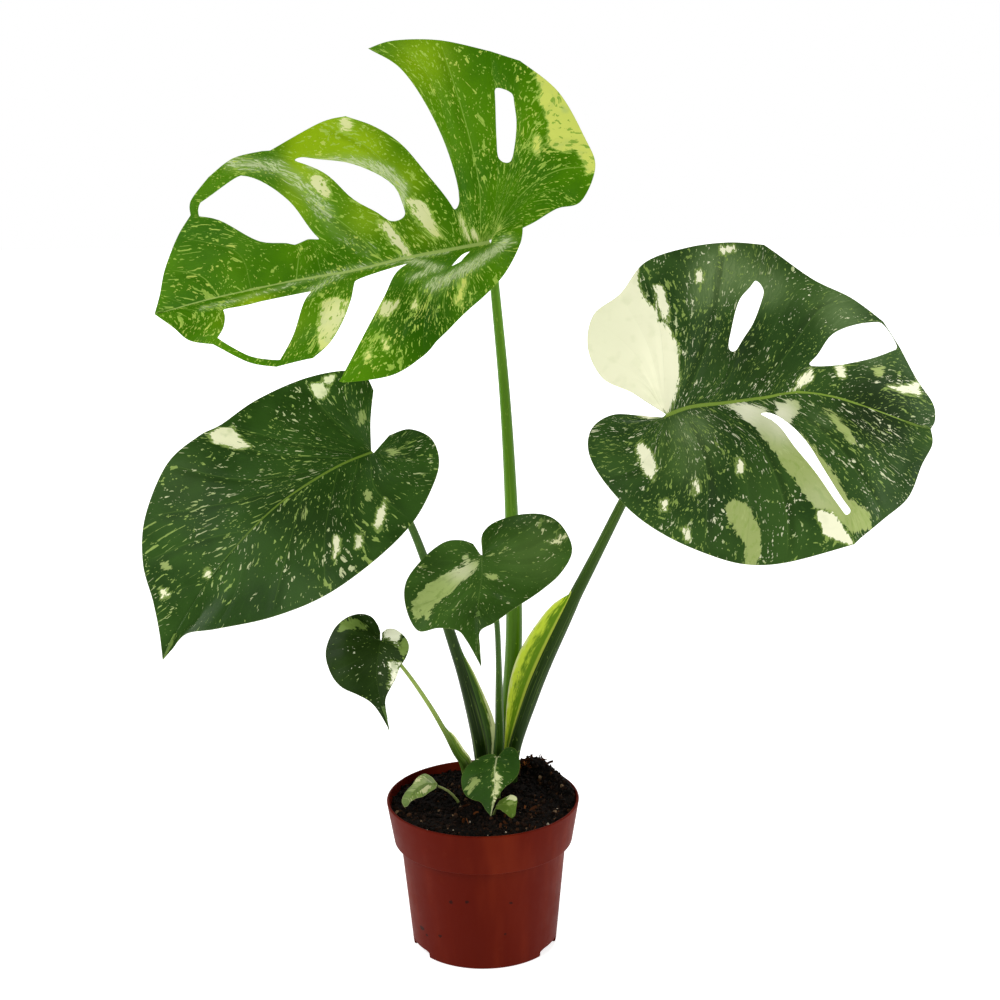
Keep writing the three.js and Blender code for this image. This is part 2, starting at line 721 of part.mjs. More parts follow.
const stems = {
  top: {
    route: [[9, 33, 90, 5.8], [14, 35, 118, 5.6], [19, 35, 160, 5.3], [21, 34, 205, 5], [20, 31, 274, 4],
      [17, 26, 345, 3.3], [12, 18, 413, 2.8], [10, 11, 438, 2.4], [9, 8, 447, 1.6]],
    steps: 16,
  },
  right: {
    route: [[17, 23, 90, 4.3], [19.5, 22, 119, 4.5, 1.5], [31, 23, 155, 5, 8], [40, 23, 178, 4.8, 11],
      [50, 22, 201, 4.5, 9], [61, 19, 227, 3.8, 0.2], [74, 14, 255, 3.3], [88, 7, 287, 2.9],
      [103, 0, 320, 2.5], [110, -6, 339, 2.1], [112, -8, 344, 1.4]],
    wingTo: [-1, -0.1, 0.3],
    steps: 18,
  },
  left: {
    route: [[2, 21, 90, 5], [0, 22, 115, 5.4, 2.5], [-3, 22, 135, 5.2, 6], [-10, 21, 166, 4.2, 3],
      [-16, 19, 188, 3.6, 0.2], [-30, 10, 239, 2.8], [-41, 0, 275, 2.4], [-53, -10, 303, 2.1],
      [-60, -16, 321, 1.9], [-62, -18, 327, 1.3]],
    wingTo: [1, -0.1, 0.3],
    steps: 16,
  },
  middle: {
    route: [[10, 13.5, 90, 3.3], [10, 12.5, 119, 3.3], [11, 5, 137, 3], [11, -11, 166, 2.4],
      [11, -28, 199, 1.8], [10, -42, 230, 1.7], [6, -54, 260, 1.6], [2, -60, 276, 1.1]],
    steps: 14,
  },
  small: {
    route: [[-7, 12, 90, 3.2], [-11, 6, 115, 3, 2], [-16, -4, 128, 2.2, 3], [-20.5, -16, 143, 1.8, 2.2],
      [-23.4, -22, 151.5, 1.6, 0.2], [-30.8, -34, 171, 1.4], [-42.7, -42, 194, 1.2], [-58.5, -50, 220, 0.9]],
    wingTo: [1, 0, 0.5],
    steps: 14,
  },
  front: { route: [[9.5, 3, 86, 1.5], [9.5, 3, 104, 1.4], [9.1, 1, 122.4, 1]], around: 8, steps: 5 },
  sprout: {
    route: [[-12, 0, 86, 1], [-16.8, 2, 94.2, 0.9], [-22, 3, 99.3, 0.8], [-28.5, 4, 103.5, 0.7]],
    around: 8,
    steps: 6,
  },
  shoot: { route: [[6, -15, 86, 1], [7, -16, 92, 0.9], [8.2, -18, 97.8, 0.6]], around: 8, steps: 4 },
};
const blades = { top, right, left, middle, small, front, sprout, shoot };

// Each stem ends under its blade's base, and stops short of the blade's underside by the gap
const plant = new THREE.Group();
const stemSolids = [];
for (const [name, blade] of Object.entries(blades)) {
  const bladeMesh = new THREE.Mesh(bladeGeometry(blade), leather(blade.color));
  bladeMesh.name = `blade_${name}`;
  placeBlade(bladeMesh, blade);
  bladeMesh.updateMatrix();
  const last = stems[name].route[stems[name].route.length - 1];
  const end = new THREE.Vector3(0, 1.6 * last[3], -bladeThickness).applyMatrix4(bladeMesh.matrix);
  last.splice(0, 3, ...end);
  const clearance = toSolid(bladeGeometry(blade, gap), bladeMesh.matrix);
  const stem = toSolid(stemGeometry(stems[name], stems[name].steps)).subtract(clearance);
  const stemMesh = new THREE.Mesh(toGeometry(stem), leather(stemGreen));
  stemMesh.name = `stem_${name}`;
  plant.add(bladeMesh, stemMesh);
  stemSolids.push(toSolid(stemGeometry(stems[name], stems[name].steps, gap)));
}

// The crown: the short rootstock that the older stems grow from, with a seat cut for each of them
const crownProfile = [[0, 80], [7, 80], [9.5, 88], [9.5, 100], [8, 107], [4.5, 112], [0, 114]];
const crownWhole = crownSolid(crownProfile);
const crown = new THREE.Mesh(
  toGeometry(stemSolids.reduce((solid, stem) => solid.subtract(stem), crownWhole)),
  leather(stemGreen),
);
crown.name = 'crown';

function crownSolid(profile) {
  const geometry = new THREE.LatheGeometry(profile.map(([r, z]) => new THREE.Vector2(r, z)), 16);
  geometry.rotateX(Math.PI / 2);
  geometry.translate(crownAt[0], crownAt[1], 0);
  return toSolid(geometry);
}

// The room in the soil that the crown sits in, wider and deeper by the gap
function crownSeat() {
  return crownSolid(crownProfile.map(([r, z], i) => [r > 0 ? r + gap : 0, i < 2 ? z - gap : z]));
}

// The pot: base, tapered wall, stepped collar with a rounded lip, open top
const collarBottom = potHeight - collarHeight;
const wallTop = 51.5;
const collarFoot = wallTop + collarStep;
const lip = potWall / 2;
const potProfile = [
  [0, 0], [baseRadius - 1.5, 0], [baseRadius, 1.5], [wallTop, collarBottom - 1], [collarFoot, collarBottom],
  [rimRadius, potHeight - lip], [rimRadius - lip, potHeight], [rimRadius - 2 * lip, potHeight - lip],
  [collarFoot - potWall, collarBottom + 1], [wallTop - potWall, collarBottom - 0.5],
  [baseRadius - potWall, potFloor + 1], [baseRadius - potWall - 1, potFloor], [0, potFloor],
];
const potGeometry = new THREE.LatheGeometry(potProfile.map(([r, z]) => new THREE.Vector2(r, z)), 48);
potGeometry.rotateX(Math.PI / 2);
let potSolid = toSolid(potGeometry);
for (const azimuth of notchAzimuths) {
  const notch = new THREE.BoxGeometry(notchWidth, 12, 2 * notchHeight);
  notch.translate(0, -baseRadius - 2, 0);
  notch.rotateZ(rad(azimuth));
  potSolid = potSolid.subtract(toSolid(notch));
}
const pot = new THREE.Mesh(
  toGeometry(potSolid),
  new THREE.MeshStandardMaterial({ color: potRed, roughness: 0.4, metalness: 0 }),
);
pot.name = 'pot';

// The soil fills the pot to a little under the rim, and is heaped at the crown and behind it on the right
function soilHeight(x, y) {
  const heap = (cx, cy, height, spread) => (
    height * Math.exp(-((x - cx) ** 2 + (y - cy) ** 2) / (2 * spread ** 2))
  );
  return soilLevel + heap(crownAt[0], crownAt[1], 7, 15) + heap(33, 43, 10, 9) + heap(50, 15, 2.5, 18);
}

function wallRadius(z) {
  if (z < collarBottom) return lerp(baseRadius, wallTop, z / collarBottom) - potWall - gap;
  return lerp(collarFoot, rimRadius, (z - collarBottom) / collarHeight) - potWall - gap;
}

const around = 36;
const soilRings = 7;
function soilGeometry() {
  const rings = [];
  const ring = (radius, height) => {
    const points = [];
    for (let k = 0; k < around; k += 1) {
      const angle = (2 * Math.PI * k) / around;
      const [x, y] = [radius * Math.cos(angle), radius * Math.sin(angle)];
      points.push(new THREE.Vector3(x, y, height(x, y)));
    }
    rings.push({ ring: points, centre: new THREE.Vector3(0, 0, height(0, 0)) });
  };
  const bottom = potFloor + 1.5;
  ring(wallRadius(bottom) - 1, () => bottom);
  ring(wallRadius(collarBottom - 2), () => collarBottom - 2);
  ring(wallRadius(collarBottom - 2), () => collarBottom + 0.3);
  ring(collarFoot - potWall - 0.5, () => collarBottom + 2);
  const edge = wallRadius(soilLevel) - 0.3;
  for (let i = soilRings; i >= 1; i -= 1) ring((edge * i) / soilRings, soilHeight);
  return loft(rings, around);
}
const soilWhole = toSolid(soilGeometry()).subtract(crownSeat());
const soil = new THREE.Mesh(
  toGeometry(stemSolids.reduce((solid, stem) => solid.subtract(stem), soilWhole)),
  new THREE.MeshStandardMaterial({ color: soilBrown, roughness: 0.95, metalness: 0 }),
);
soil.name = 'soil';

const group = new THREE.Group();
group.add(pot, soil, crown, plant);
export default group;
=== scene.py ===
# Looks of the potted monstera with marbled leaves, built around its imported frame.
# Settings are in millimetres and a geometry tree's inputs in metres, unless a note says otherwise.
# Colours are screen ones, 0 to 255.
import math
import bpy
import numpy as np
from mathutils import Matrix, Vector
from mathutils.kdtree import KDTree


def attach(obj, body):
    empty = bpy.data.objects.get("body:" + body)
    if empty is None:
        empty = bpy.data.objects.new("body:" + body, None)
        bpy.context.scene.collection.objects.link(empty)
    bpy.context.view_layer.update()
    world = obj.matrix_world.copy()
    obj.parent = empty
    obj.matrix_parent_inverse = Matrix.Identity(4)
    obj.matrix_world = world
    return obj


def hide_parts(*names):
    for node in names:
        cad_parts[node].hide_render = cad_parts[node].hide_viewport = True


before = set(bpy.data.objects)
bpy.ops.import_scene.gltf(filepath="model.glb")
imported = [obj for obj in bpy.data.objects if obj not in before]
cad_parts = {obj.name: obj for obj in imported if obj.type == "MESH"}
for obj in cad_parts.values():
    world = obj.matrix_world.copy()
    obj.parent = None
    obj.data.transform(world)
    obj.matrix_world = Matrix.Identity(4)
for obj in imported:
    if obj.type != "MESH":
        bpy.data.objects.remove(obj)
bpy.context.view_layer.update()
mm = 0.001  # in metres
tiny = 1e-6  # points closer than this, in metres, are merged
bpy.context.scene.view_settings.view_transform = "Standard"
print("frame loaded")


def paint(red, green, blue):  # a screen colour as a linear one
    parts = [v / 255 for v in (red, green, blue)]
    return (*[v / 12.92 if v <= 0.04045 else ((v + 0.055) / 1.055) ** 2.4 for v in parts], 1)


def socketOf(sockets, name):  # by number, identifier or label
    if isinstance(name, int):
        return sockets[name]
    return next(socket for socket in sockets if name in (socket.identifier, socket.name) and socket.enabled)


class Tree:  # a node tree that is being built
    def __init__(self, tree):
        self.tree = tree

    def node(self, kind, inputs=None, out=0, **settings):
        made = self.tree.nodes.new(kind)
        for name, value in settings.items():
            setattr(made, name, value)
        for name, value in (inputs or {}).items():
            self.feed(made, name, value)
        return Field(self, socketOf(made.outputs, out)) if len(made.outputs) else made

    def feed(self, made, name, value):
        socket = socketOf(made.inputs, name)
        if isinstance(value, Field):
            self.tree.links.new(value.socket, socket)
        elif socket.type == "RGBA" and len(value) == 3:
            socket.default_value = paint(*value)
        else:
            socket.default_value = value

    def math(self, operation, *values):
        inputs = dict(enumerate(values))
        vectors = [v for v in values if isinstance(v, tuple) or getattr(v, "kind", "") == "VECTOR"]
        if not vectors:
            return self.node("ShaderNodeMath", inputs, operation=operation)
        if operation == "MULTIPLY" and len(vectors) == 1:
            scale = values[1] if values[0] is vectors[0] else values[0]
            operation, inputs = "SCALE", {0: vectors[0], "Scale": scale}
        return self.node("ShaderNodeVectorMath", inputs, operation=operation)

    def mix(self, a, b, share):
        return self.node("ShaderNodeMix", {"Factor_Float": share, "A_Color": a, "B_Color": b}, "Result_Color",
                         data_type="RGBA")

    def smooth(self, value, low, high, start=0.0, end=1.0):
        inputs = {"Value": value, "From Min": low, "From Max": high, "To Min": start, "To Max": end}
        return self.node("ShaderNodeMapRange", inputs, interpolation_type="SMOOTHSTEP")

    def noise(self, vector, scale, detail=2.0, rough=0.5):
        inputs = {"Vector": vector, "Scale": scale, "Detail": detail, "Roughness": rough}
        return self.node("ShaderNodeTexNoise", inputs)

    def vector(self, x, y, z=0.0):
        return self.node("ShaderNodeCombineXYZ", {"X": x, "Y": y, "Z": z})

    def join(self, first, *others):  # several pieces as one
        made = self.node("GeometryNodeJoinGeometry", {"Geometry": first})
        for part in others:
            made.feed("Geometry", part)
        return made

    def tube(self, around, steps, fill):  # 1 high, with a radius of 1
        inputs = {"Vertices": around, "Side Segments": steps, "Radius": 1.0, "Depth": 1.0}
        return self.node("GeometryNodeMeshCylinder", inputs, "Mesh", fill_type=fill)

    def attribute(self, name):  # a stored value, in a material
        return self.node("ShaderNodeAttribute", out="Fac", attribute_name=name)

    def named(self, name):  # a stored value, in a geometry tree
        return self.node("GeometryNodeInputNamedAttribute", {"Name": name}, data_type="FLOAT")

    def position(self):
        return self.node("GeometryNodeInputPosition")

    def store(self, geometry, name, value, domain="POINT"):
        inputs = {"Geometry": geometry, "Name": name, "Value": value}
        return self.node("GeometryNodeStoreNamedAttribute", inputs, data_type="FLOAT", domain=domain)

    def shape(self, geometry, **inputs):  # moves points to a Position or by an Offset
        return self.node("GeometryNodeSetPosition", {"Geometry": geometry, **inputs})

    def random(self, seed, kind="FLOAT", **limits):
        return self.node("FunctionNodeRandomValue", {"Seed": seed, **limits}, "Value", data_type=kind)

    def anyTurn(self, seed):  # a random turn about every axis
        fullTurn = 6.3
        return self.random(seed, "FLOAT_VECTOR", Max=(fullTurn, fullTurn, fullTurn))


class Field:  # a node's output that can take part in sums
    def __init__(self, tree, socket):
        self.tree, self.socket, self.kind = tree, socket, socket.type

    def feed(self, name, value):  # one more input of its node
        self.tree.feed(self.socket.node, name, value)

    def other(self, out):  # another output of its node
        return Field(self.tree, socketOf(self.socket.node.outputs, out))

    def part(self, axis):
        return self.tree.node("ShaderNodeSeparateXYZ", {0: self}, out=axis)

    def math(self, operation, *others):
        return self.tree.math(operation, self, *others)

    def __add__(self, other):
        return self.tree.math("ADD", self, other)

    def __radd__(self, other):
        return self.tree.math("ADD", other, self)

    def __sub__(self, other):
        return self.tree.math("SUBTRACT", self, other)

    def __rsub__(self, other):
        return self.tree.math("SUBTRACT", other, self)

    def __mul__(self, other):
        return self.tree.math("MULTIPLY", self, other)

    def __rmul__(self, other):
        return self.tree.math("MULTIPLY", other, self)

    def __truediv__(self, other):
        return self.tree.math("DIVIDE", self, other)

    def __rtruediv__(self, other):
        return self.tree.math("DIVIDE", other, self)

    def __pow__(self, other):
        return self.tree.math("POWER", self, other)


def newSkin(name):  # a material's tree, with places in millimetres
    made = bpy.data.materials.new(name)
    made.use_nodes = True
    tree = Tree(made.node_tree)
    tree.material, tree.shader = made, made.node_tree.nodes["Principled BSDF"]
    tree.place = tree.node("ShaderNodeTexCoord", out="Object") * 1000.0
    return tree


def finishSkin(tree, colour, roughness, shine=0.5, height=None, bump=0.0, depth=0.0):  # depth in metres
    tree.feed(tree.shader, "Base Color", colour)
    tree.feed(tree.shader, "Roughness", roughness)
    tree.feed(tree.shader, "Specular IOR Level", shine)
    if height:
        inputs = {"Strength": bump, "Distance": depth, "Height": height}
        tree.feed(tree.shader, "Normal", tree.node("ShaderNodeBump", inputs, "Normal"))
    return tree.material


def newObject(name, data):
    made = bpy.data.objects.new(name, data)
    bpy.context.scene.collection.objects.link(made)
    return made


def meshObject(name, points, faces=(), edges=(), values=None):
    mesh = bpy.data.meshes.new(name)
    mesh.from_pydata([tuple(p) for p in points], edges, faces)
    for key, numbers in (values or {}).items():
        layer = mesh.attributes.new(key, "FLOAT", "POINT")
        layer.data.foreach_set("value", np.asarray(numbers, np.float32))
    return newObject(name, mesh)


socketKinds = {float: "Float", int: "Int", bool: "Bool", tuple: "Vector"}


def newGroup(name, inputs):  # an empty geometry tree with named inputs, the last for a material
    group = bpy.data.node_groups.new(name, "GeometryNodeTree")
    group.interface.new_socket("Geometry", in_out="INPUT", socket_type="NodeSocketGeometry")
    for label, value in inputs.items():
        kind = "NodeSocket" + socketKinds[type(value)]
        group.interface.new_socket(label, in_out="INPUT", socket_type=kind).default_value = value
    group.interface.new_socket("Material", in_out="INPUT", socket_type="NodeSocketMaterial")
    group.interface.new_socket("Geometry", in_out="OUTPUT", socket_type="NodeSocketGeometry")
    tree = Tree(group)
    entry = group.nodes.new("NodeGroupInput")
    tree.input = lambda label: Field(tree, entry.outputs[label])
    return tree


def closeGroup(tree, geometry, smooth=True):  # ends a geometry tree: instances made real, then the material
    real = tree.node("GeometryNodeRealizeInstances", {"Geometry": geometry})
    shaded = tree.node("GeometryNodeSetShadeSmooth", {"Geometry": real, "Shade Smooth": smooth})
    painted = tree.node("GeometryNodeSetMaterial", {"Geometry": shaded, "Material": tree.input("Material")})
    tree.node("NodeGroupOutput", {"Geometry": painted})
    return tree


def grow(source, tree, name, values, sharp=0):  # runs a geometry tree on an object, which the result replaces
    modifier = source.modifiers.new(name, "NODES")
    modifier.node_group = tree.tree
    for item in tree.tree.interface.items_tree:
        if item.in_out == "INPUT" and item.name in values:
            modifier[item.identifier] = values[item.name]
    source.update_tag()
    shown = source.evaluated_get(bpy.context.evaluated_depsgraph_get())
    mesh = bpy.data.meshes.new_from_object(shown)
    mesh.name = name
    bpy.data.objects.remove(source)
    if sharp:
        mesh.set_sharp_from_angle(angle=math.radians(sharp))
    print(name, len(mesh.polygons), "faces")
    return newObject(name, mesh)


def finishPiece(piece, slotName, *nodes):
    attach(piece, "root")
    if nodes:
        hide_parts(*nodes)


def bend(b, c, m, n, t):  # from b to c, leaving along m and arriving along n
    return b + m * t + (3 * (c - b) - 2 * m - n) * t ** 2 + (m + n - 2 * (c - b)) * t ** 3


def smoothBetween(a, b, c, d, t):  # from b to c, on the way from a to d
    return bend(b, c, (c - a) / 2, (d - b) / 2, t)


def lengths(steps):  # of each vector
    return np.linalg.norm(steps, axis=-1)


class Curve:  # centripetal Catmull-Rom through points
    def __init__(self, points):
        samples = 160
        p = np.array(points, float)
        p = np.vstack([2 * p[0] - p[1], p, 2 * p[-1] - p[-2]])
        knots = len(p) - 3
        gap = np.maximum(lengths(np.diff(p, axis=0)) ** 0.5, 1e-3)
        place = np.linspace(0, knots, samples + 1)
        i = np.minimum(place.astype(int), knots - 1)
        a, b, c, d = p[i], p[i + 1], p[i + 2], p[i + 3]
        g0, g1, g2 = gap[i][:, None], gap[i + 1][:, None], gap[i + 2][:, None]
        m = ((b - a) / g0 - (c - a) / (g0 + g1) + (c - b) / g1) * g1
        n = ((c - b) / g1 - (d - b) / (g1 + g2) + (d - c) / g2) * g1
        self.points = bend(b, c, m, n, (place - i)[:, None])
        self.run = np.concatenate([[0], np.cumsum(lengths(np.diff(self.points, axis=0)))])
        self.place = place / knots

    def along(self, value, scale):  # the points where the scale has a value
        return np.stack([np.interp(value, scale, self.points[:, k]) for k in range(3)], -1)

    def at(self, share):  # at a fraction of the length
        return self.along(np.clip(share, 0, 1) * self.run[-1], self.run)

    def byKnot(self, share):  # at a fraction of the count of points
        return self.along(share, self.place)


plainLeaf = {
    "openings": {}, "calm": {}, "cream": [], "pale": [], "strong": {}, "litAndShadedSpots": [], "milky": [], "sheenSpots": [],
    "sheenStrokes": [], "body": {},
}
holeFrom, holeTo = 0.4, 0.8  # where a vein's three bands of faces meet, away from openings
ribStrip = 0.7  # of ribWidth: the strip between the halves is narrower than in CAD
sideMark = 0.001  # added to a vein's number, so that the first keeps its side's sign
gridSteps = 50  # to a millimetre: points that fall on the same step are one


def knotValues(leaf, side, key, fallback, count):  # a value at each vein, set where the openings are
    known = [(vein, fallback) for vein in leaf["calm"].get(side, [])]
    for opening in leaf["openings"].get(side, []):
        values = opening.get(key) or [fallback] * len(opening["inner"])
        known += [(opening["from"] + i, value) for i, value in enumerate(values)]
    if not known:
        return np.full(count, fallback)
    known.sort()
    return np.interp(range(count), [k for k, _ in known], [v for _, v in known])


def halfSheet(leaf, side, midrib):  # columns of points, along the veins and between them
    ribWidth = leaf["ribWidth"] * ribStrip
    entries = [*leaf["veins"][side], [1, leaf["midrib"][-1]]]

    def rootAt(start):
        root = midrib.byKnot(np.array(start, float))
        root[..., 0] += side * ribWidth * (1 - np.array(start, float))
        return root

    veins = [Curve([rootAt(start), *points]) for start, *points in entries]
    starts = [entry[0] for entry in entries]
    last = len(veins) - 1
    inner = knotValues(leaf, side, "inner", holeFrom, len(veins))
    outer = knotValues(leaf, side, "outer", holeTo, len(veins))
    bands = [np.linspace(0, 1, n + 1) for n in leaf["fine"]]
    columns, u, opened = [], [], []

    def stretch(first, end, opening):  # the columns between two veins
        for vein in range(first, end):
            margin = np.linalg.norm(veins[vein + 1].points[-1] - veins[vein].points[-1])
            steps = max(12 if opening else 2, int(math.ceil(margin / leaf["pitch"])))
            for step in range(1 if columns else 0, steps + 1):
                t = step / steps
                across = (vein - first + t) / (end - first)
                bulge = opening["round"] * math.sqrt(max(0, 1 - (2 * across - 1) ** 2)) if opening else 0
                low = inner[vein] + (inner[vein + 1] - inner[vein]) * t - bulge
                high = outer[vein] + (outer[vein + 1] - outer[vein]) * t
                high += bulge * 0.6 if opening and "outer" in opening else 0
                r = np.concatenate([low * bands[0] ** 1.5, low + (high - low) * bands[1][1:],
                                    high + (1 - high) * bands[2][1:]])
                near = [veins[min(max(i, first), end)].at(r) for i in range(vein - 1, vein + 3)]
                column = smoothBetween(*near, t)
                column[0] = rootAt(starts[vein] + (starts[vein + 1] - starts[vein]) * t)
                columns.append(column)
                u.append(vein + t)
                opened.append(opening if step else None)

    vein = 0
    for opening in leaf["openings"].get(side, []):
        stretch(vein, opening["from"], None)
        stretch(opening["from"], opening["to"], opening)
        vein = opening["to"]
    stretch(vein, last, None)
    grid, u = np.array(columns), np.array(u)
    steps = lengths(np.diff(grid, axis=1))
    run = np.concatenate([np.zeros((len(u), 1)), np.cumsum(steps, axis=1)], axis=1)
    return grid, u, run, lengths(np.gradient(grid, u, axis=0)), opened


def zipStrip(points, first, second, side, faces):  # the faces of the midrib, between its two sides
    i = j = 0
    while i < len(first) - 1 or j < len(second) - 1:
        stepFirst = j == len(second) - 1
        if not stepFirst and i < len(first) - 1:
            stepFirst = points[first[i + 1]][1] < points[second[j + 1]][1]
        a, b = first[i], second[j]
        following = first[i + 1] if stepFirst else second[j + 1]
        faces.append((a, following, b) if side > 0 else (a, b, following))
        i, j = (i + 1, j) if stepFirst else (i, j + 1)


def leafSheet(leaf):  # both halves as one sheet, with where each point is on the fan
    midrib = Curve([(0, 0, 0), *leaf["midrib"]])
    points, data, faces, numbers = [], [], [], {}

    def number(p, d):
        key = tuple(np.round(p * gridSteps).astype(int))
        if key not in numbers:
            numbers[key] = len(points)
            points.append(p)
            data.append(d)
        return numbers[key]

    roots = []
    fromRow, toRow = leaf["fine"][0], leaf["fine"][0] + leaf["fine"][1]
    for side in leaf["veins"]:
        grid, u, run, wide, opened = halfSheet(leaf, side, midrib)
        ids = [[number(grid[i, j], (side * (u[i] + sideMark), run[i, j], wide[i, j]))
                for j in range(grid.shape[1])] for i in range(len(u))]
        for before, after, opening in zip(ids, ids[1:], opened[1:]):
            for row in range(len(before) - 1):
                if opening and row >= fromRow and (row < toRow or "outer" not in opening):
                    continue
                quad = [before[row], after[row], after[row + 1], before[row + 1]][::-side]
                quad = [v for k, v in enumerate(quad) if v != quad[k - 1]]
                if len(set(quad)) > 2:
                    faces.append(tuple(quad))
        edge = [column[0] for column in ids]
        roots.append([v for k, v in enumerate(edge) if k == 0 or v != edge[k - 1]])
    zipStrip(points, *roots, next(iter(leaf["veins"])), faces)
    return np.array(points), np.array(data), faces


def marginDistance(points, faces):  # how far each point is from the nearest open edge
    count = {}
    for face in faces:
        for k, v in enumerate(face):
            edge = tuple(sorted((v, face[k - 1])))
            count[edge] = count.get(edge, 0) + 1
    rim = sorted({v for edge, n in count.items() if n == 1 for v in edge})
    tree = KDTree(len(rim))
    for i, v in enumerate(rim):
        tree.insert(points[v], i)
    tree.balance()
    return np.array([tree.find(p)[2] for p in points])


def patchDistance(points, sides, patches):  # millimetres inside the nearest patch, less than 0 outside all
    outside, nearRib = -99.0, 3
    best = np.full(len(points), outside)
    xy = points[:, :2]
    x, y = points[:, :1], points[:, 1:2]
    for patch in patches:
        start = np.array(patch, float)
        side = 1 if start[:, 0].mean() > 0 else -1
        run = np.roll(start, -1, axis=0) - start
        away = xy[:, None] - start
        t = np.clip((away * run).sum(2) / (run ** 2).sum(1), 0, 1)
        distance = lengths(away - t[..., None] * run).min(1)
        rises = (start[:, 1] > y) != (start[:, 1] + run[:, 1] > y)
        at = start[:, 0] + (y - start[:, 1]) / np.where(run[:, 1] == 0, 1e-9, run[:, 1]) * run[:, 0]
        inside = (rises & (x < at)).sum(1) % 2 == 1
        signed = np.where(inside, distance, -distance)
        signed[(sides * side < 0) & (np.abs(points[:, 0]) > nearRib)] = outside
        best = np.maximum(best, signed)
    return best


def leafBasis(leaf):  # rows: the leaf's own X, Y (to the tip) and Z (out of its face)
    elevation, azimuth = (math.radians(v) for v in leaf["face"])
    out = math.cos(elevation)
    face = np.array([math.sin(azimuth) * out, -math.cos(azimuth) * out, math.sin(elevation)])
    tip = np.array(leaf["toTip"], float)
    tip -= face * (tip @ face)
    tip /= np.linalg.norm(tip)
    return np.array([np.cross(tip, face), tip, face])


def besideVein(across, wide):  # millimetres from the nearest vein, less than 0 before it
    return (across - across.math("ROUND")) * wide


def thickLeafGroup():  # a leaf sheet, quilted between its veins and made a closed blade
    tree = newGroup("thick leaf", {
        "Thickness": 0.0009, "Rim thickness": 0.0003, "Quilting": 0.0006, "Wave": 0.001, "Rib height": 0.0012,
        "Rib width": 1.2, "Seed": 0.0})
    veinHeight, barely = 0.0004, 0.01  # Rib width, run, wide and margin are in millimetres
    across, run, wide, margin = (tree.named(name) for name in ("across", "run", "wide", "margin"))
    off = besideVein(across, wide).math("ABSOLUTE")

    # the sheet rises between the veins, sinks along the midrib and waves a little
    pillow = tree.smooth(off, 0.0, 5.0) * tree.smooth(run, 2.0, 14.0) * tree.smooth(margin, 0.0, 5.0)
    groove = tree.smooth(run, 2.5, 0.0)
    seeded = tree.position() * 1000.0 + tree.vector(tree.input("Seed"), 0.0)
    wave = (tree.noise(seeded, 0.035, 1.0) - 0.5) * tree.smooth(margin, 0.0, 12.0)
    wave = wave * tree.smooth(run, 0.0, 20.0)
    fine = (tree.noise(seeded, 0.14, 2.0) - 0.5) * 0.35
    lift = tree.input("Quilting") * (pillow - groove * 0.5 + fine) + tree.input("Wave") * wave
    normal = tree.node("GeometryNodeInputNormal")
    sheet = tree.shape(tree.input("Geometry"), Offset=normal * lift)
    kept = tree.tree.nodes.new("GeometryNodeCaptureAttribute")
    kept.capture_items.new("VECTOR", "Normal")
    tree.feed(kept, "Geometry", sheet)
    tree.feed(kept, "Normal", normal)
    top, way = Field(tree, kept.outputs["Geometry"]), Field(tree, kept.outputs["Normal"])

    # a copy of it goes down by the thickness, more at the midrib and the veins and less at the rim
    inputs = {"Mesh": top, "Offset Scale": 0.0, "Individual": False}
    pulled = tree.node("GeometryNodeExtrudeMesh", inputs, "Mesh")
    rib = tree.input("Rib height") * ((run / tree.input("Rib width")) ** 2.0 * -1.0).math("EXPONENT")
    veins = tree.smooth(off, 1.1, 0.0) * tree.smooth(wide, 3.0, 8.0) * tree.smooth(margin, 1.0, 12.0)
    veins = veins * veinHeight
    full = tree.smooth(margin, 0.0, 3.0) * (tree.input("Thickness") - tree.input("Rim thickness"))
    thick = full + tree.input("Rim thickness") + (rib + veins) * tree.smooth(margin, 0.5, 7.0)
    facing = tree.node("GeometryNodeFieldOnDomain", {"Value": pulled.other("Top")}, data_type="FLOAT",
                       domain="POINT")
    lower = tree.shape(pulled, Selection=facing.math("GREATER_THAN", barely), Offset=way * (thick * -1.0))
    turned = tree.node("GeometryNodeFlipFaces", {"Mesh": tree.store(lower, "under", facing)})
    whole = {"Geometry": tree.join(turned, top), "Distance": tiny}
    return closeGroup(tree, tree.node("GeometryNodeMergeByDistance", whole))


# Some of these colours are painted light: a lit and a shaded green, a painted sheen with brighter streaks,
# and painted shade in the creases beside the strong veins
leafLook = {
    "seed": 1, "veinGap": 18.0, "stretch": 0.42, "deep": (40, 68, 24), "light": (58, 90, 34),
    "litGreen": (104, 134, 66), "dark": (26, 46, 10), "sheen": (110, 136, 84), "spot": (132, 158, 76),
    "cream": (232, 234, 178),
    "pale": (160, 178, 104), "milk": (236, 238, 196), "mottle": 0.5, "creaseShadeShare": 0.45, "sheenShare": 0.75,
    "sheenStreak": (150, 172, 112), "sheenStreakShare": 0.2, "vein": (92, 122, 50), "veinShare": 0.3, "veinLine": 0.5,
    "rib": (128, 152, 62), "ribShare": 0.75, "ribLine": 0.9, "ribEnd": 0.9, "rim": (120, 140, 60),
    "under": (112, 138, 76), "blotch": 0.68, "fleck": 0.645, "grain": 0.69, "islands": 0.7, "ragged": 1.0,
    "creamy": 0.8, "fringe": 0.6, "clouds": 0.5, "paleShare": 0.92, "roughness": 0.36, "bump": 0.25,
    "shine": 0.1,
}
# How fine each pattern is: broad ones per millimetre, the others along the veins' own flow
leafScale = {
    "bend": 0.05, "broad": 0.03, "mottle": 0.7, "streaks": 0.8, "crowd": 0.028, "blotches": 0.13,
    "flecks": 0.5, "grains": 1.0, "hue": 0.12, "ragged": 0.42, "islands": 0.32, "within": 0.35,
    "clouds": 0.12, "gloss": 0.06, "net": 0.6,
}


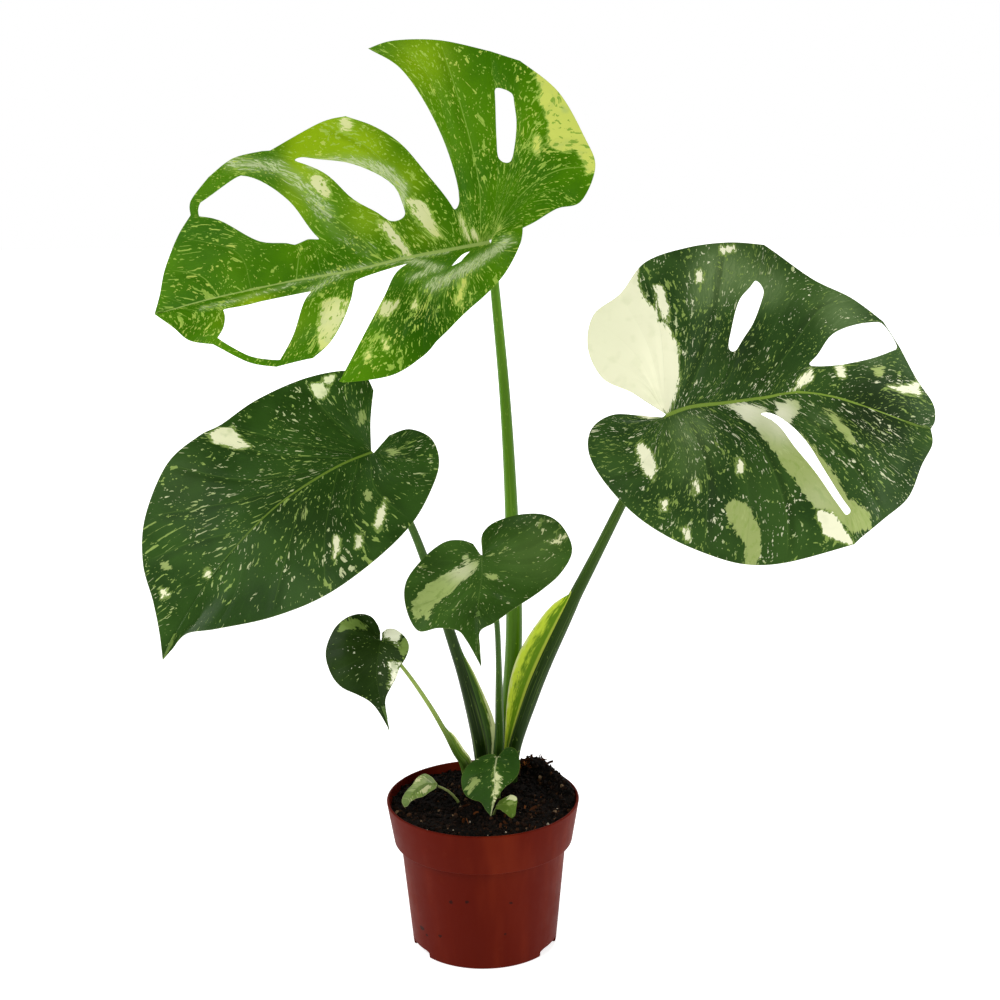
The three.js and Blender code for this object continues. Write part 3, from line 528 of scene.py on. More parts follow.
def leafMaterial(name, look):
    tree = newSkin(name)
    scale = leafScale
    across, run, wide = (tree.attribute(key) for key in ("across", "run", "wide"))
    margin, under = tree.attribute("margin"), tree.attribute("under")
    cream, pale, tone, paintedSheen, milk = (tree.attribute(key) for key in ("cream", "pale", "tone", "paintedSheen", "milk"))
    strong, ribSide, onward = (tree.attribute(key) for key in ("strong", "ribSide", "onward"))
    place = tree.place + (look["seed"] * 100.0, 0.0, 0.0)
    bent = tree.noise(place, scale["bend"], 2.0) * 8.0
    flow = tree.vector(across * look["veinGap"] + bent, run * look["stretch"] + bent, look["seed"] * 10.0)
    beside = besideVein(across, wide)
    off = beside.math("ABSOLUTE")

    # the green: deeper and lighter stretches, painted light and shade by tone, a painted sheen in soft
    # patches and brighter streaks, and painted shade beside the strong veins
    broad = tree.smooth(tree.noise(place, scale["broad"], 2.0), 0.3, 0.7)
    green = tree.mix(look["deep"], look["light"], broad)
    grainy = tree.noise(flow, scale["mottle"], 3.0, 0.7)
    green = tree.mix(green, look["light"], tree.smooth(grainy, 0.5, 0.75) * look["mottle"])
    # painted light and shade: placed spots lift the green towards a lit one or sink it towards a shaded one
    green = tree.mix(green, look["litGreen"], tree.smooth(tone, 0.0, 1.0))
    green = tree.mix(green, look["dark"], tree.smooth(tone, 0.0, -1.0))
    streaky = tree.noise(flow * (1.0, 0.5, 1.0) + (11.0, 3.0, 8.0), scale["streaks"], 4.0, 0.75) - 0.5
    # painted sheen: reflected light laid into the colour as a soft haze, then as brighter streaks
    green = tree.mix(green, look["sheen"], tree.smooth(paintedSheen + streaky * 0.4, 0.1, 0.9) * look["sheenShare"])
    green = tree.mix(green, look["sheenStreak"], tree.smooth(paintedSheen * 0.5 + streaky * 1.5, 0.34, 0.5) * look["sheenStreakShare"])
    # painted shade in the creases along one side of each strong vein
    creaseShade = tree.smooth(beside, 0.3, 2.0) * tree.smooth(beside, 8.0, 2.5) * tree.smooth(margin, 2.0, 16.0)
    green = tree.mix(green, look["dark"], creaseShade * strong * tree.smooth(run, 4.0, 14.0) * look["creaseShadeShare"])

    # marbling: middling blotches, fine flecks and finer grains, drawn out along the veins
    def marks(pattern, key, edge):  # where a pattern passes its level
        return tree.smooth(pattern, look[key], look[key] + edge)

    crowd = tree.noise(place, scale["crowd"], 1.0) - 0.5
    near = tree.smooth(cream, -14.0, 0.0) * 0.03
    more = crowd * 0.16
    blotches = marks(tree.noise(flow, scale["blotches"], 4.0, 0.66) + more + near, "blotch", 0.02)
    flecks = marks(tree.noise(flow, scale["flecks"], 2.5, 0.6) + more + near, "fleck", 0.03)
    fineFlow = flow * (1.0, 0.8, 1.0) + (3.0, 9.0, 5.0)
    grains = marks(tree.noise(fineFlow, scale["grains"], 1.0) + crowd * 0.08, "grain", 0.03)
    hue = tree.smooth(tree.noise(flow, scale["hue"], 1.0), 0.46, 0.64)
    spot = tree.mix(look["spot"], look["cream"], hue * look["creamy"])
    colour = tree.mix(green, look["spot"], blotches * 0.7)
    colour = tree.mix(colour, spot, flecks * 0.85)
    colour = tree.mix(colour, spot, grains * 0.7)

    # patches from the listed outlines: ragged, with a light green fringe and green left inside
    ragged = (tree.noise(flow, scale["ragged"], 4.0, 0.7) - 0.5) * 11.0
    left = marks(tree.noise(flow + (40.0, 7.0, 0.0), scale["islands"], 3.0, 0.65), "islands", 0.03)
    within = tree.smooth(tree.noise(flow, scale["within"], 3.0, 0.6), 0.48, 0.66)
    palePart = tree.mix(tree.mix(look["pale"], look["spot"], within * 0.55), look["milk"], milk)
    paleShare = tree.smooth(pale + ragged, -0.5, 0.5) * (1.0 - left * 0.8) * look["paleShare"]
    colour = tree.mix(colour, palePart, paleShare)
    rough = ragged * look["ragged"]
    colour = tree.mix(colour, look["spot"], tree.smooth(cream + rough, -1.9, -0.5) * look["fringe"])
    clouds = tree.smooth(tree.noise(place, scale["clouds"], 2.0), 0.5, 0.75) * look["clouds"]
    creamy = tree.mix(tree.mix(look["cream"], look["pale"], clouds), look["milk"], milk)
    creamShare = tree.smooth(cream + rough, -0.25, 0.25) * (1.0 - left)
    colour = tree.mix(colour, creamy, creamShare)

    # veins, the midrib and the rim
    vein = tree.smooth(off, look["veinLine"], look["veinLine"] * 0.3) * tree.smooth(wide, 3.0, 9.0)
    vein = vein * tree.smooth(margin, 2.0, 14.0) * strong * (1.0 - creamShare * 0.85)
    colour = tree.mix(colour, look["vein"], vein * look["veinShare"])
    ribOff = ribSide.math("ABSOLUTE") / (1.25 - onward * 0.7)
    rib = tree.smooth(ribOff, look["ribLine"], look["ribLine"] * 0.5)
    rib = rib * tree.smooth(onward, look["ribEnd"], look["ribEnd"] - 0.5)
    colour = tree.mix(colour, look["rib"], rib * look["ribShare"])
    colour = tree.mix(colour, look["rim"], tree.smooth(margin, 0.5, 0.1) * 0.35)
    back = tree.mix(colour, look["under"], 0.62)
    back = tree.mix(back, look["rib"], tree.smooth(run, 1.8, 0.6) * 0.5)

    # finish: softly waxy on top, dull beneath, with fine veins between the main ones
    gloss = tree.noise(place, scale["gloss"], 2.0) * 0.12 + look["roughness"]
    net = tree.noise(place, scale["net"], 3.0, 0.6) + tree.smooth(off, 0.5, 0.0) * -0.5
    colour = tree.mix(colour, back, under)
    return finishSkin(tree, colour, gloss + under * 0.2, look["shine"], net, look["bump"], 0.0004)


def soften(points, spots):  # round, soft spots given as x, y, size and amount
    total = np.zeros(len(points))
    for x, y, size, amount in spots:
        total += amount * np.exp(-((points[:, 0] - x) ** 2 + (points[:, 1] - y) ** 2) / size ** 2)
    return total


def smear(points, sheenStrokes):  # soft strokes given as size, amount and the points they pass
    most = np.zeros(len(points))
    for size, amount, line in sheenStrokes:
        for first, second in zip(line, line[1:]):
            start, reach = np.array(first, float), np.subtract(second, first)
            share = np.clip((points[:, :2] - start) @ reach / (reach @ reach), 0, 1)
            gap = lengths(points[:, :2] - start - share[:, None] * reach)
            most = np.maximum(most, amount * np.exp(-(gap / size) ** 2))
    return most


leafTree = thickLeafGroup()
leaves = {}
faintVein, strongVein = 0.35, 1


def makeBlade(name, settings, slotName):
    leaf = leaves[name] = {**plainLeaf, **settings}
    points, data, faces = leafSheet(leaf)
    across, run, wide = data.T
    sides = np.sign(across)
    strong = np.full(len(points), faintVein)
    for side, knots in leaf["strong"].items():
        strong[(sides == side) & np.isin(np.rint(np.abs(across)), knots)] = strongVein
    onward = np.clip(points[:, 1] / leaf["midrib"][-1][1], 0, 1)
    values = {
        "across": across, "run": run, "wide": wide, "margin": marginDistance(points, faces), "strong": strong,
        "cream": patchDistance(points, sides, leaf["cream"]),
        "pale": patchDistance(points, sides, leaf["pale"]),
        # the tone is painted light and shade, from placed spots
        "tone": soften(points, leaf["litAndShadedSpots"]), "milk": soften(points, leaf["milky"]), "onward": onward,
        # painted sheen, from soft spots and strokes
        "paintedSheen": np.clip(soften(points, leaf["sheenSpots"]) + smear(points, leaf["sheenStrokes"]), 0, 1),
        "ribSide": sides * (run + leaf["ribWidth"] * ribStrip * (1 - onward)),
    }
    placed = (np.array(leaf["at"]) + points @ leafBasis(leaf)) * mm
    look = {**leafLook, **leaf["look"]}
    piece = f"blade_{name}_look"
    skin = leafMaterial(piece + " skin", look)
    inputs = {"Material": skin, "Seed": float(look["seed"] * 50), **leaf["body"]}
    sheet = meshObject(piece + "_sheet", placed, faces, values=values)
    finishPiece(grow(sheet, leafTree, piece, inputs, sharp=50), slotName, "blade_" + name)


# The young leaf on top: bright green, cream along the back lobe
topLeaf = {
    "at": (9, 8, 447), "face": (55, -10), "toTip": (-0.98, -0.09, -0.18), "ribWidth": 2,
    "midrib": [(-1, 26, 2), (-2, 49, 4), (-5, 82, 6), (-3, 118, 6), (-2, 145, 5), (-1, 173, 3), (0, 201, 0)],
    "veins": {
        1: [
            [0, (3, -16, 1)], [0, (6, -16, 3), (6, -28, 2)], [0, (13, -21, 6), (11, -43, 4)],
            [0, (18, -26, 9), (21, -44, 9), (12, -58, 5)], [0, (24, -27, 11), (31, -50, 15), (30, -71, 12)],
            [0, (28, -22, 13), (49, -47, 22), (48, -69, 20)],
            [0, (26, -17, 12), (57, -38, 27), (77, -60, 33)],
            [0.01, (22, -11, 10), (41, -23, 19), (61, -31, 29), (81, -34, 38), (98, -42, 44)],
            [0.015, (22, -9, 10), (43, -15, 20), (63, -19, 29), (83, -23, 38), (106, -26, 49)],
            [0.03, (29, -1, 14), (64, -2, 30), (118, 2, 55)],
            [0.05, (17, 10, 8), (49, 9, 23), (97, 13, 45), (124, 29, 57)],
            [0.07, (20, 13, 9), (35, 11, 16), (70, 15, 33), (107, 29, 50), (124, 45, 55)],
            [0.08, (22, 16, 9), (47, 28, 21), (66, 39, 30), (78, 52, 36), (87, 67, 40)],
            [0.12, (20, 31, 10), (39, 42, 19), (65, 57, 31), (88, 83, 38)],
            [0.18, (26, 44, 12), (42, 48, 20), (58, 68, 28), (67, 93, 32), (77, 115, 35)],
            [0.27, (25, 57, 12), (39, 73, 19), (57, 87, 28), (78, 120, 35)],
            [0.35, (22, 77, 10), (44, 98, 21), (70, 121, 32), (78, 138, 34)],
            [0.42, (24, 99, 11), (47, 111, 22), (64, 130, 30), (70, 154, 31)],
            [0.5, (23, 104, 10), (42, 130, 20), (59, 167, 26)],
            [0.56, (20, 112, 10), (27, 132, 13), (45, 154, 20), (51, 169, 22)],
            [0.7, (23, 146, 11), (41, 179, 17)], [0.8, (15, 170, 7), (24, 190, 10)], [0.9, (10, 196, 4)],
        ],
        -1: [
            [0, (3, -4, 2.5), (4.5, -11, 4), (7, -22, 5)], [0, (-8, -8, 5), (-12, -17, 7)],
            [0, (-20, -2, 10), (-31, -2, 15), (-41, -4, 17)], [0, (-20, 6, 10), (-38, 11, 17), (-53, 10, 15)],
            [0.02, (-20, 13, 10), (-39, 20, 17), (-60, 24, 11)],
            [0.05, (-20, 20, 10), (-41, 30, 18), (-56, 36, 13), (-67, 36, 7)],
            [0.07, (-20, 25, 9), (-40, 34, 17), (-58, 42, 12), (-71, 44, 4)],
            [0.1, (-20, 30, 9), (-39, 38, 17), (-59, 48, 11), (-76, 53, 0)],
            [0.15, (-18, 37, 9), (-33, 45, 15), (-61, 60, 10), (-81, 73, -5)],
            [0.2, (-25, 51, 12), (-54, 68, 13), (-68, 86, 1), (-76, 101, -8)],
            [0.24, (-14, 56, 8), (-41, 68, 17), (-57, 82, 10), (-74, 102, -7)],
            [0.41, (-16, 82, 9), (-37, 87, 16), (-48, 94, 12), (-56, 104, 5), (-60, 115, 0)],
            [0.45, (-15, 92, 9), (-29, 97, 13), (-47, 109, 9), (-59, 123, -1)],
            [0.5, (-11, 104, 7), (-26, 113, 12), (-46, 124, 6), (-57, 137, -4)],
            [0.7, (-14, 139, 9), (-29, 141, 11), (-40, 147, 5), (-50, 152, -3)],
            [0.87, (-14, 161, 7), (-29, 162, 8), (-36, 170, 3)], [0.92, (-15, 176, 6), (-30, 183, 4)],
            [0.97, (-18, 191, 5)],
        ],
    },
    "openings": {
        1: [
            {"from": 7, "to": 8, "inner": (0.47, 0.47), "outer": (0.79, 0.79), "round": 0.045},
            {"from": 11, "to": 12, "inner": (0.2, 0.22), "round": 0.02},
            {"from": 14, "to": 15, "inner": (0.27, 0.26), "outer": (0.82, 0.8), "round": 0.05},
            {"from": 17, "to": 19, "inner": (0.28, 0.29, 0.28), "outer": (0.83, 0.93, 0.94), "round": 0.02},
        ],
        -1: [
            {"from": 5, "to": 6, "inner": (0.1, 0.12), "outer": (0.28, 0.3), "round": 0.02},
            {"from": 10, "to": 11, "inner": (0.1, 0.16), "round": 0.02},
            {"from": 13, "to": 15, "inner": (0.22, 0.3, 0.45), "outer": (0.93, 0.92, 0.9), "round": 0.02},
        ],
    },
    "calm": {-1: (3, 8)},
    "cream": [
        [(95, -50), (85, -49), (78, -50), (73, -48), (64, -50), (59, -50), (53, -48), (45, -48), (42, -54),
         (42, -62), (36, -64), (27, -66), (30, -75), (49, -74), (63, -70), (80, -65), (92, -58)],
        [(33, 43), (32, 37), (26, 31), (17, 29), (7, 27), (8, 31), (16, 36), (24, 40)],
        [(24, 62), (22, 56), (11, 51), (-1, 47), (1, 51), (11, 57)],
        [(56, 95), (57, 90), (52, 86), (43, 86), (45, 92), (50, 94)],
        [(86, 71), (86, 66), (82, 64), (78, 67), (80, 71)],
        [(53, -39), (53, -43), (47, -42), (41, -40), (44, -38)],
        [(20, 14), (14, 12), (3, 11), (4, 13), (12, 14)],
        [(9, 8), (7, 7), (2, 5), (2, 7), (5, 9)],
        [(8, -8), (4, -7), (2, -2), (2, 0), (3, -4)],
        [(-43, 69), (-43, 59), (-49, 63), (-55, 72), (-49, 72)],
        [(-44, 51), (-46, 49), (-53, 51), (-51, 53)],
        [(-40, 22), (-40, 19), (-47, 22), (-56, 26), (-53, 28), (-47, 25)],
        [(-63, 74), (-64, 71), (-69, 71), (-68, 74)],
        [(-65, 84), (-66, 82), (-70, 83), (-68, 86)],
        [(-30, 103), (-30, 95), (-38, 88), (-45, 92), (-57, 104), (-59, 109), (-53, 110), (-43, 107)],
    ],
    "look": {
        "seed": 1, "veinGap": 17.0, "deep": (62, 116, 0), "light": (84, 138, 2), "litGreen": (150, 188, 14),
        "dark": (40, 88, 0), "sheen": (150, 182, 96), "spot": (172, 206, 84), "cream": (214, 226, 104),
        "pale": (168, 198, 116), "vein": (146, 184, 70), "veinShare": 0.7, "veinLine": 0.45,
        "rib": (180, 206, 110), "ribLine": 1.5, "ribEnd": 1.4, "ribShare": 0.7, "under": (110, 156, 50),
        "blotch": 0.645, "fleck": 0.61, "grain": 0.66, "rim": (120, 160, 40), "islands": 0.58, "ragged": 0.85,
        # this leaf's painted sheen and painted shade in the creases are set here too
        "creamy": 0.6, "shine": 0.06, "creaseShadeShare": 0.25, "milk": (234, 238, 180), "sheenShare": 0.45,
        "sheenStreak": (206, 222, 164), "sheenStreakShare": 0.9,
    },
    "strong": {1: (4, 9, 13, 16, 19, 21), -1: (5, 9, 12, 14)},
    # painted light and shade, as spots that lighten or darken
    "litAndShadedSpots": [
        (84, 86, 20, 1.0), (66, 62, 16, 0.9), (44, 40, 14, 0.5), (62, 98, 14, 0.7), (40, 110, 14, 0.5),
        (110, 16, 24, 0.6), (-16, 142, 12, 0.7), (-36, 128, 16, 0.5), (30, 156, 26, -0.35),
        (-62, 48, 26, -0.9), (-24, 160, 12, 0.3), (74, 136, 10, 0.4), (28, 68, 16, 0.55), (12, 36, 14, 0.35),
    ],
    # painted sheen along the folds, drawn as strokes
    "sheenStrokes": [
        (8, 1.0, [(-8, -8), (-20, 5), (-29, 16), (-36, 26), (-39, 38)]),
        (6, 0.9, [(-3, 50), (-12, 42), (-22, 34), (-27, 48)]),
        (6, 0.9, [(76, 140), (70, 124), (66, 112), (57, 104), (46, 97), (34, 90)]),
        (5, 1.0, [(63, 92), (61, 76), (57, 60), (50, 50), (40, 43), (32, 46)]),
        (5, 0.6, [(82, 24), (66, 18), (54, 14)]),
        (4, 0.7, [(-3, 26), (-4, 54), (-4, 84), (-5, 110), (-8, 130), (-10, 150), (-9, 172)]),
        (6, 0.8, [(-6, 90), (-13, 103), (-20, 112)]), (7, 0.5, [(26, 88), (16, 80), (6, 70)]),
    ],
    "milky": [
        (30, 34, 24, 0.8), (8, 56, 18, 0.9), (50, 92, 12, 0.9), (84, 68, 10, 0.7), (-46, 64, 24, 0.8),
        (-44, 100, 16, 0.6), (8, 8, 12, 0.7),
    ],
    "fine": (16, 15, 12), "pitch": 1.7,
    "body": {"Quilting": 0.0003, "Wave": 0.0016, "Rib width": 1.4},
}
makeBlade("top", topLeaf, "young_leaf")

# The large leaf on the right: dark, with its back half mostly cream at the base
rightLeaf = {
    "at": (112, -8, 344), "face": (42, 12), "toTip": (0.99, 0.12, -0.1), "ribWidth": 1.8,
    "midrib": [
        (-4, 14, 5), (-5, 35, 11), (-7, 56, 16), (-11, 78, 18), (-9, 101, 17), (-5, 124, 12), (-1, 148, 5),
        (0, 163, 0),
    ],
    "veins": {
        -1: [
            [0, (-7, -13, 4), (-13, -22, 4)], [0, (-15, -14, 6), (-20, -38, 5)],
            [0, (-20, -15, 8), (-38, -47, 8)], [0, (-32, -18, 12), (-58, -44, 13)],
            [0, (-40, -12, 14), (-71, -28, 18)], [0, (-45, -4, 16), (-91, -13, 22)],
            [0.04, (-54, 13, 20), (-100, 12, 27)], [0.1, (-53, 28, 24), (-103, 37, 31)],
            [0.16, (-19, 31, 15), (-42, 36, 23), (-65, 42, 29), (-77, 51, 31), (-101, 58, 34)],
            [0.19, (-18, 35, 15), (-38, 42, 22), (-51, 50, 27), (-70, 57, 31), (-95, 65, 35)],
            [0.27, (-38, 57, 25), (-65, 72, 32), (-79, 87, 34)],
            [0.35, (-35, 72, 25), (-60, 91, 31), (-70, 111, 30)],
            [0.42, (-20, 72, 21), (-31, 87, 24), (-46, 98, 27), (-54, 114, 27), (-58, 131, 25)],
            [0.5, (-24, 85, 22), (-29, 105, 22), (-35, 124, 21), (-44, 142, 19)],
            [0.62, (-21, 119, 18), (-27, 153, 12)], [0.76, (-12, 139, 11), (-15, 164, 5)],
            [0.9, (-6, 166, 1)],
        ],
        1: [
            [0, (1, -13, 0)], [0, (4, -21, 0), (0, -31, -2)], [0, (11, -24, 2), (9, -44, -3)],
            [0, (22, -23, 3), (25, -47, -2)], [0, (36, -18, 5), (44, -40, 1)], [0, (40, -8, 6), (65, -24, 3)],
            [0.03, (36, 8, 8), (79, -5, 3)], [0.08, (40, 20, 11), (90, 18, 4)],
            [0.14, (20, 36, 13), (60, 44, 14), (97, 41, 6)], [0.2, (21, 50, 15), (66, 65, 16), (96, 66, 9)],
            [0.26, (8, 62, 15), (26, 73, 18), (42, 84, 19), (58, 94, 18), (68, 101, 16), (84, 106, 12)],
            [0.3, (5, 66, 15), (19, 79, 17), (41, 90, 19), (57, 99, 18), (67, 106, 16), (80, 110, 12)],
            [0.38, (19, 95, 17), (51, 116, 16), (67, 125, 12)], [0.5, (17, 114, 15), (51, 142, 10)],
            [0.65, (14, 130, 12), (28, 153, 7)], [0.85, (12, 162, 3)],
        ],
    },
    "openings": {
        -1: [
            {"from": 8, "to": 9, "inner": (0.4, 0.4), "outer": (0.76, 0.72), "round": 0.06},
            {"from": 12, "to": 13, "inner": (0.36, 0.34), "outer": (0.96, 0.96), "round": 0.06},
        ],
        1: [{"from": 10, "to": 11, "inner": (0.19, 0.19), "outer": (0.83, 0.83), "round": 0.04}],
    },
    "cream": [
        [(-95, -17), (-82, -18), (-77, -18), (-70, -15), (-65, -12), (-61, -6), (-54, -6), (-51, -2),
         (-48, 1), (-40, 6), (-28, 7), (-17, 7), (-9, 5), (-2, 2), (3, -10), (-6, -30), (-25, -55),
         (-60, -60), (-85, -40)],
        [(-76, -7), (-75, -3), (-67, -1), (-53, 1), (-56, -3), (-66, -6)],
        [(66, 83), (72, 84), (78, 88), (83, 95), (83, 105), (78, 103), (70, 96), (65, 91)],
        [(-84, 16), (-86, 20), (-79, 21), (-78, 18)],
        [(-100, 32), (-101, 40), (-97, 41), (-95, 33)],
        [(-12, 75), (-19, 79), (-25, 85), (-20, 86), (-15, 80)],
        [(-28, 100), (-29, 105), (-22, 106), (-21, 102)],
        [(-19, 134), (-22, 146), (-25, 154), (-18, 156), (-18, 147)],
        [(34, 36), (33, 40), (39, 43), (44, 40)],
        [(59, -7), (58, -3), (64, -2), (65, -6)],
        [(76, 6), (75, 9), (82, 10), (82, 7)],
        [(47, 12), (46, 15), (54, 16), (55, 13)],
        [(23, -19), (21, -16), (27, -10), (39, -9), (46, -11), (42, -15), (32, -18)],
    ],
    "pale": [
        [(-5, 34), (2, 41), (13, 50), (25, 58), (39, 66), (56, 76), (64, 82), (67, 92), (78, 104), (74, 117),
         (64, 117), (58, 104), (46, 97), (32, 89), (19, 80), (10, 71), (7, 63), (-1, 57), (-4, 45)],
        [(-4, 63), (-6, 78), (0, 78), (9, 71), (8, 64)],
        [(-29, 123), (-31, 132), (-25, 131), (-24, 126)],
        [(63, 30), (59, 36), (61, 43), (67, 46), (77, 50), (88, 51), (98, 48), (99, 41), (86, 42), (77, 36),
         (71, 31)],
        [(-2, 91), (1, 97), (10, 107), (23, 112), (22, 108), (12, 100)],
    ],
    "look": {
        "seed": 2, "veinGap": 20.0, "blotch": 0.68, "fleck": 0.615, "grain": 0.67, "islands": 0.9,
        "clouds": 0.12, "rib": (140, 170, 62), "ribLine": 1.4, "ribEnd": 1.3, "ragged": 0.8,
        "cream": (255, 255, 218), "spot": (146, 172, 84), "milk": (240, 242, 208), "pale": (172, 188, 112),
    },
    "strong": {-1: (5, 7, 9, 11, 13), 1: (4, 7, 9, 11, 12)},
    # painted light and shade, as spots that lighten or darken
    "litAndShadedSpots": [
        (-80, 40, 26, 0.4), (-60, 100, 26, 0.3), (30, 10, 26, 0.3), (-40, 40, 20, -0.6), (-14, 60, 16, -0.4),
        (-5, 124, 32, -0.9), (40, 52, 16, -0.3),
    ],
    # painted sheen, as soft spots
    "sheenSpots": [
        (-85, 31, 20, 0.8), (-72, 60, 16, 0.6), (-66, 19, 12, 0.4), (-61, 103, 18, 0.6), (-39, 122, 14, 0.5),
        (12, 14, 16, 0.7), (40, 11, 14, 0.3), (7, 90, 12, 0.4),
    ],
    "milky": [(0, 46, 14, 1.0), (14, 66, 10, 0.5), (2, 68, 9, 0.7), (60, 84, 12, 0.2)],
    "fine": (16, 15, 12), "pitch": 1.8,
    "body": {"Quilting": 0.0003, "Wave": 0.0016, "Rib width": 1.4},
}
makeBlade("right", rightLeaf, "marbled_leaf")

# The heart-shaped leaf on the left
leftLeaf = {
    "at": (-62, -18, 327), "face": (42, -15), "toTip": (-0.7, -0.37, -0.6), "ribWidth": 1.6,
    "midrib": [(4, 17, 7), (6, 38, 15), (7, 68, 23), (6, 104, 23), (5, 130, 17), (3, 156, 7), (0, 174, -1)],
    "veins": {
        1: [
            [0, (14, -13, 3.5), (27, -28, 4)], [0, (19, -13, 6), (38, -31, 5)],
            [0, (27, -8, 7), (50, -24, 7)], [0, (32, 2, 9), (63, -3, 11)], [0.02, (35, 17, 14), (70, 26, 19)],
            [0.05, (35, 31, 18), (71, 51, 25)], [0.1, (34, 43, 21), (75, 66, 27)],
            [0.2, (34, 67, 25), (75, 91, 29)], [0.32, (34, 89, 26), (62, 122, 25)],
            [0.5, (29, 114, 23), (45, 142, 18)], [0.68, (16, 138, 16), (25, 154, 12)], [0.85, (11, 164, 6)],
        ],
        -1: [
            [0, (0, -14, 0)], [0, (-5, -10, 1), (-6, -25, -1)], [0, (-13, -11, 3), (-21, -29, 0)],
            [0, (-21, -8, 4), (-36, -22, 2)], [0, (-26, 3, 6), (-46, -8, 4)],
            [0.02, (-26, 18, 11), (-57, 18, 10)], [0.08, (-26, 38, 16), (-61, 50, 18)],
            [0.18, (-28, 59, 21), (-56, 85, 21)], [0.32, (-24, 88, 23), (-41, 115, 20)],
            [0.5, (-13, 118, 20), (-18, 141, 14)], [0.7, (-3, 140, 12), (-3, 154, 7)], [0.88, (-1, 166, 2)],
        ],
    },
    "cream": [
        [(71, 61), (69, 52), (65, 48), (56, 50), (46, 49), (55, 57), (64, 62)],
        [(56, -5), (54, -10), (46, -9), (43, -3), (49, -1)], [(55, -13), (51, -19), (48, -14), (51, -10)],
        [(-34, 19), (-37, 19), (-43, 28), (-48, 36), (-45, 36), (-38, 27)],
        [(-41, 46), (-42, 43), (-48, 50), (-47, 53)], [(-33, 55), (-36, 54), (-41, 60), (-44, 66), (-38, 61)],
        [(11, 121), (9, 119), (6, 122), (9, 124)], [(26, 146), (23, 143), (19, 145), (22, 149)],
    ],
    "pale": [
        [(23, -11), (21, -15), (15, -11), (16, -6)], [(-5, -6), (-11, -10), (-15, -10), (-13, -5)],
        [(-22, 24), (-24, 21), (-29, 24), (-27, 28)], [(-2, 53), (-3, 52), (-12, 59), (-11, 60)],
        [(36, 135), (33, 132), (28, 133), (32, 137)],
    ],
    "look": {
        "seed": 3, "veinGap": 20.0, "stretch": 0.34, "deep": (36, 66, 14), "light": (52, 86, 26),
        "blotch": 0.67, "fleck": 0.622, "grain": 0.69, "cream": (246, 246, 204), "ribLine": 0.9,
        "ribEnd": 0.8, "rib": (118, 146, 50), "creamy": 0.6, "spot": (156, 182, 92), "creaseShadeShare": 0.3,
        "ragged": 0.75,
    },
    "strong": {1: (3, 5, 6, 7, 8, 9), -1: (3, 5, 6, 7, 8)},
    # painted light and shade, as spots that lighten or darken
    "litAndShadedSpots": [
        (60, 90, 26, 0.2), (44, 12, 20, 0.12), (8, 60, 26, -0.4), (-24, 60, 20, -0.4), (-50, 80, 20, 0.15),
    ],
    "fine": (16, 14, 12), "pitch": 1.9,
    "body": {"Quilting": 0.0003, "Wave": 0.0014, "Rib width": 1.3},
}
makeBlade("left", leftLeaf, "marbled_leaf")

# The middling leaf in front of the stems
middleLeaf = {
    "at": (2, -60, 276), "face": (50, 0), "toTip": (0, -0.77, -0.64), "ribWidth": 0.9,
    "midrib": [(0, 16, 3), (2, 34, 5), (3, 50, 3), (1, 71, -6)],
    "veins": {
        1: [
            [0, (5, -7, 1)], [0, (12, -9, 2)], [0, (22, -7, 3)], [0, (19, 6, 4), (34, 3, 2)],
            [0.05, (24, 19, 5), (44, 19, 2)], [0.12, (27, 33, 6), (44, 36, 2)],
            [0.2, (26, 42, 6), (37, 52, 3)], [0.32, (25, 51, 4)], [0.45, (14, 53, 4)], [0.6, (9, 58, 1)],
            [0.8, (4, 66, -3)],
        ],
        -1: [
            [0, (0, -9, 0)], [0, (-1, -16, -1)], [0, (-8, -23, -1)], [0, (-12, -14, 2), (-23, -28, -1)],
            [0, (-21, -10, 3), (-38, -28, -2)], [0.05, (-28, -1, 3), (-48, -20, -3)],
            [0.1, (-28, 10, 4), (-53, -4, -3)], [0.18, (-24, 20, 5), (-46, 13, 0)],
            [0.28, (-16, 31, 6), (-33, 28, 4)], [0.4, (-19, 39, 5)], [0.55, (-7, 48, 4)],
            [0.66, (1.5, 53, 2)], [0.85, (1.2, 65, -3)],
        ],
    },
    "cream": [
        [(-37, -24), (-42, -24), (-42, -23), (-38, -23)],
        [(-40, -7), (-46, -14), (-50, -16), (-51, -14), (-44, -6)],
    ],
    "pale": [
        [(2, 4), (9, 7), (16, 13), (24, 17), (30, 21), (36, 27), (40, 34), (40, 40), (38, 47), (35, 41),
         (32, 49), (30, 43), (26, 36), (17, 27), (10, 19), (3, 11)],
        [(-2, 15), (-8, 15), (-9, 19), (-4, 19)],
        [(11, 3), (8, 2), (7, 5), (11, 5)],
        [(-4, 1), (-11, -1), (-17, -4), (-16, -2), (-10, 1)],
    ],
    "look": {
        "seed": 4, "veinGap": 9.0, "deep": (44, 76, 14), "light": (64, 100, 32), "pale": (176, 196, 114),
        "blotch": 0.69, "fleck": 0.64, "grain": 0.68, "ribLine": 0.5, "ribShare": 0.3, "rib": (96, 128, 50),
        "fringe": 0.3,
    },
    # painted light and shade, as spots that lighten or darken
    "litAndShadedSpots": [
        (-22, 4, 18, 0.35), (-38, -10, 14, 0.3), (-40, 16, 12, 0.2), (28, 8, 14, -0.4), (22, 34, 12, -0.2),
    ],
    "milky": [(12, 12, 9, 0.7)],
    "fine": (12, 10, 8), "pitch": 1.2,
    "body": {"Quilting": 0.0002, "Wave": 0.0008, "Rib width": 0.9},
}
makeBlade("middle", middleLeaf, "marbled_leaf")

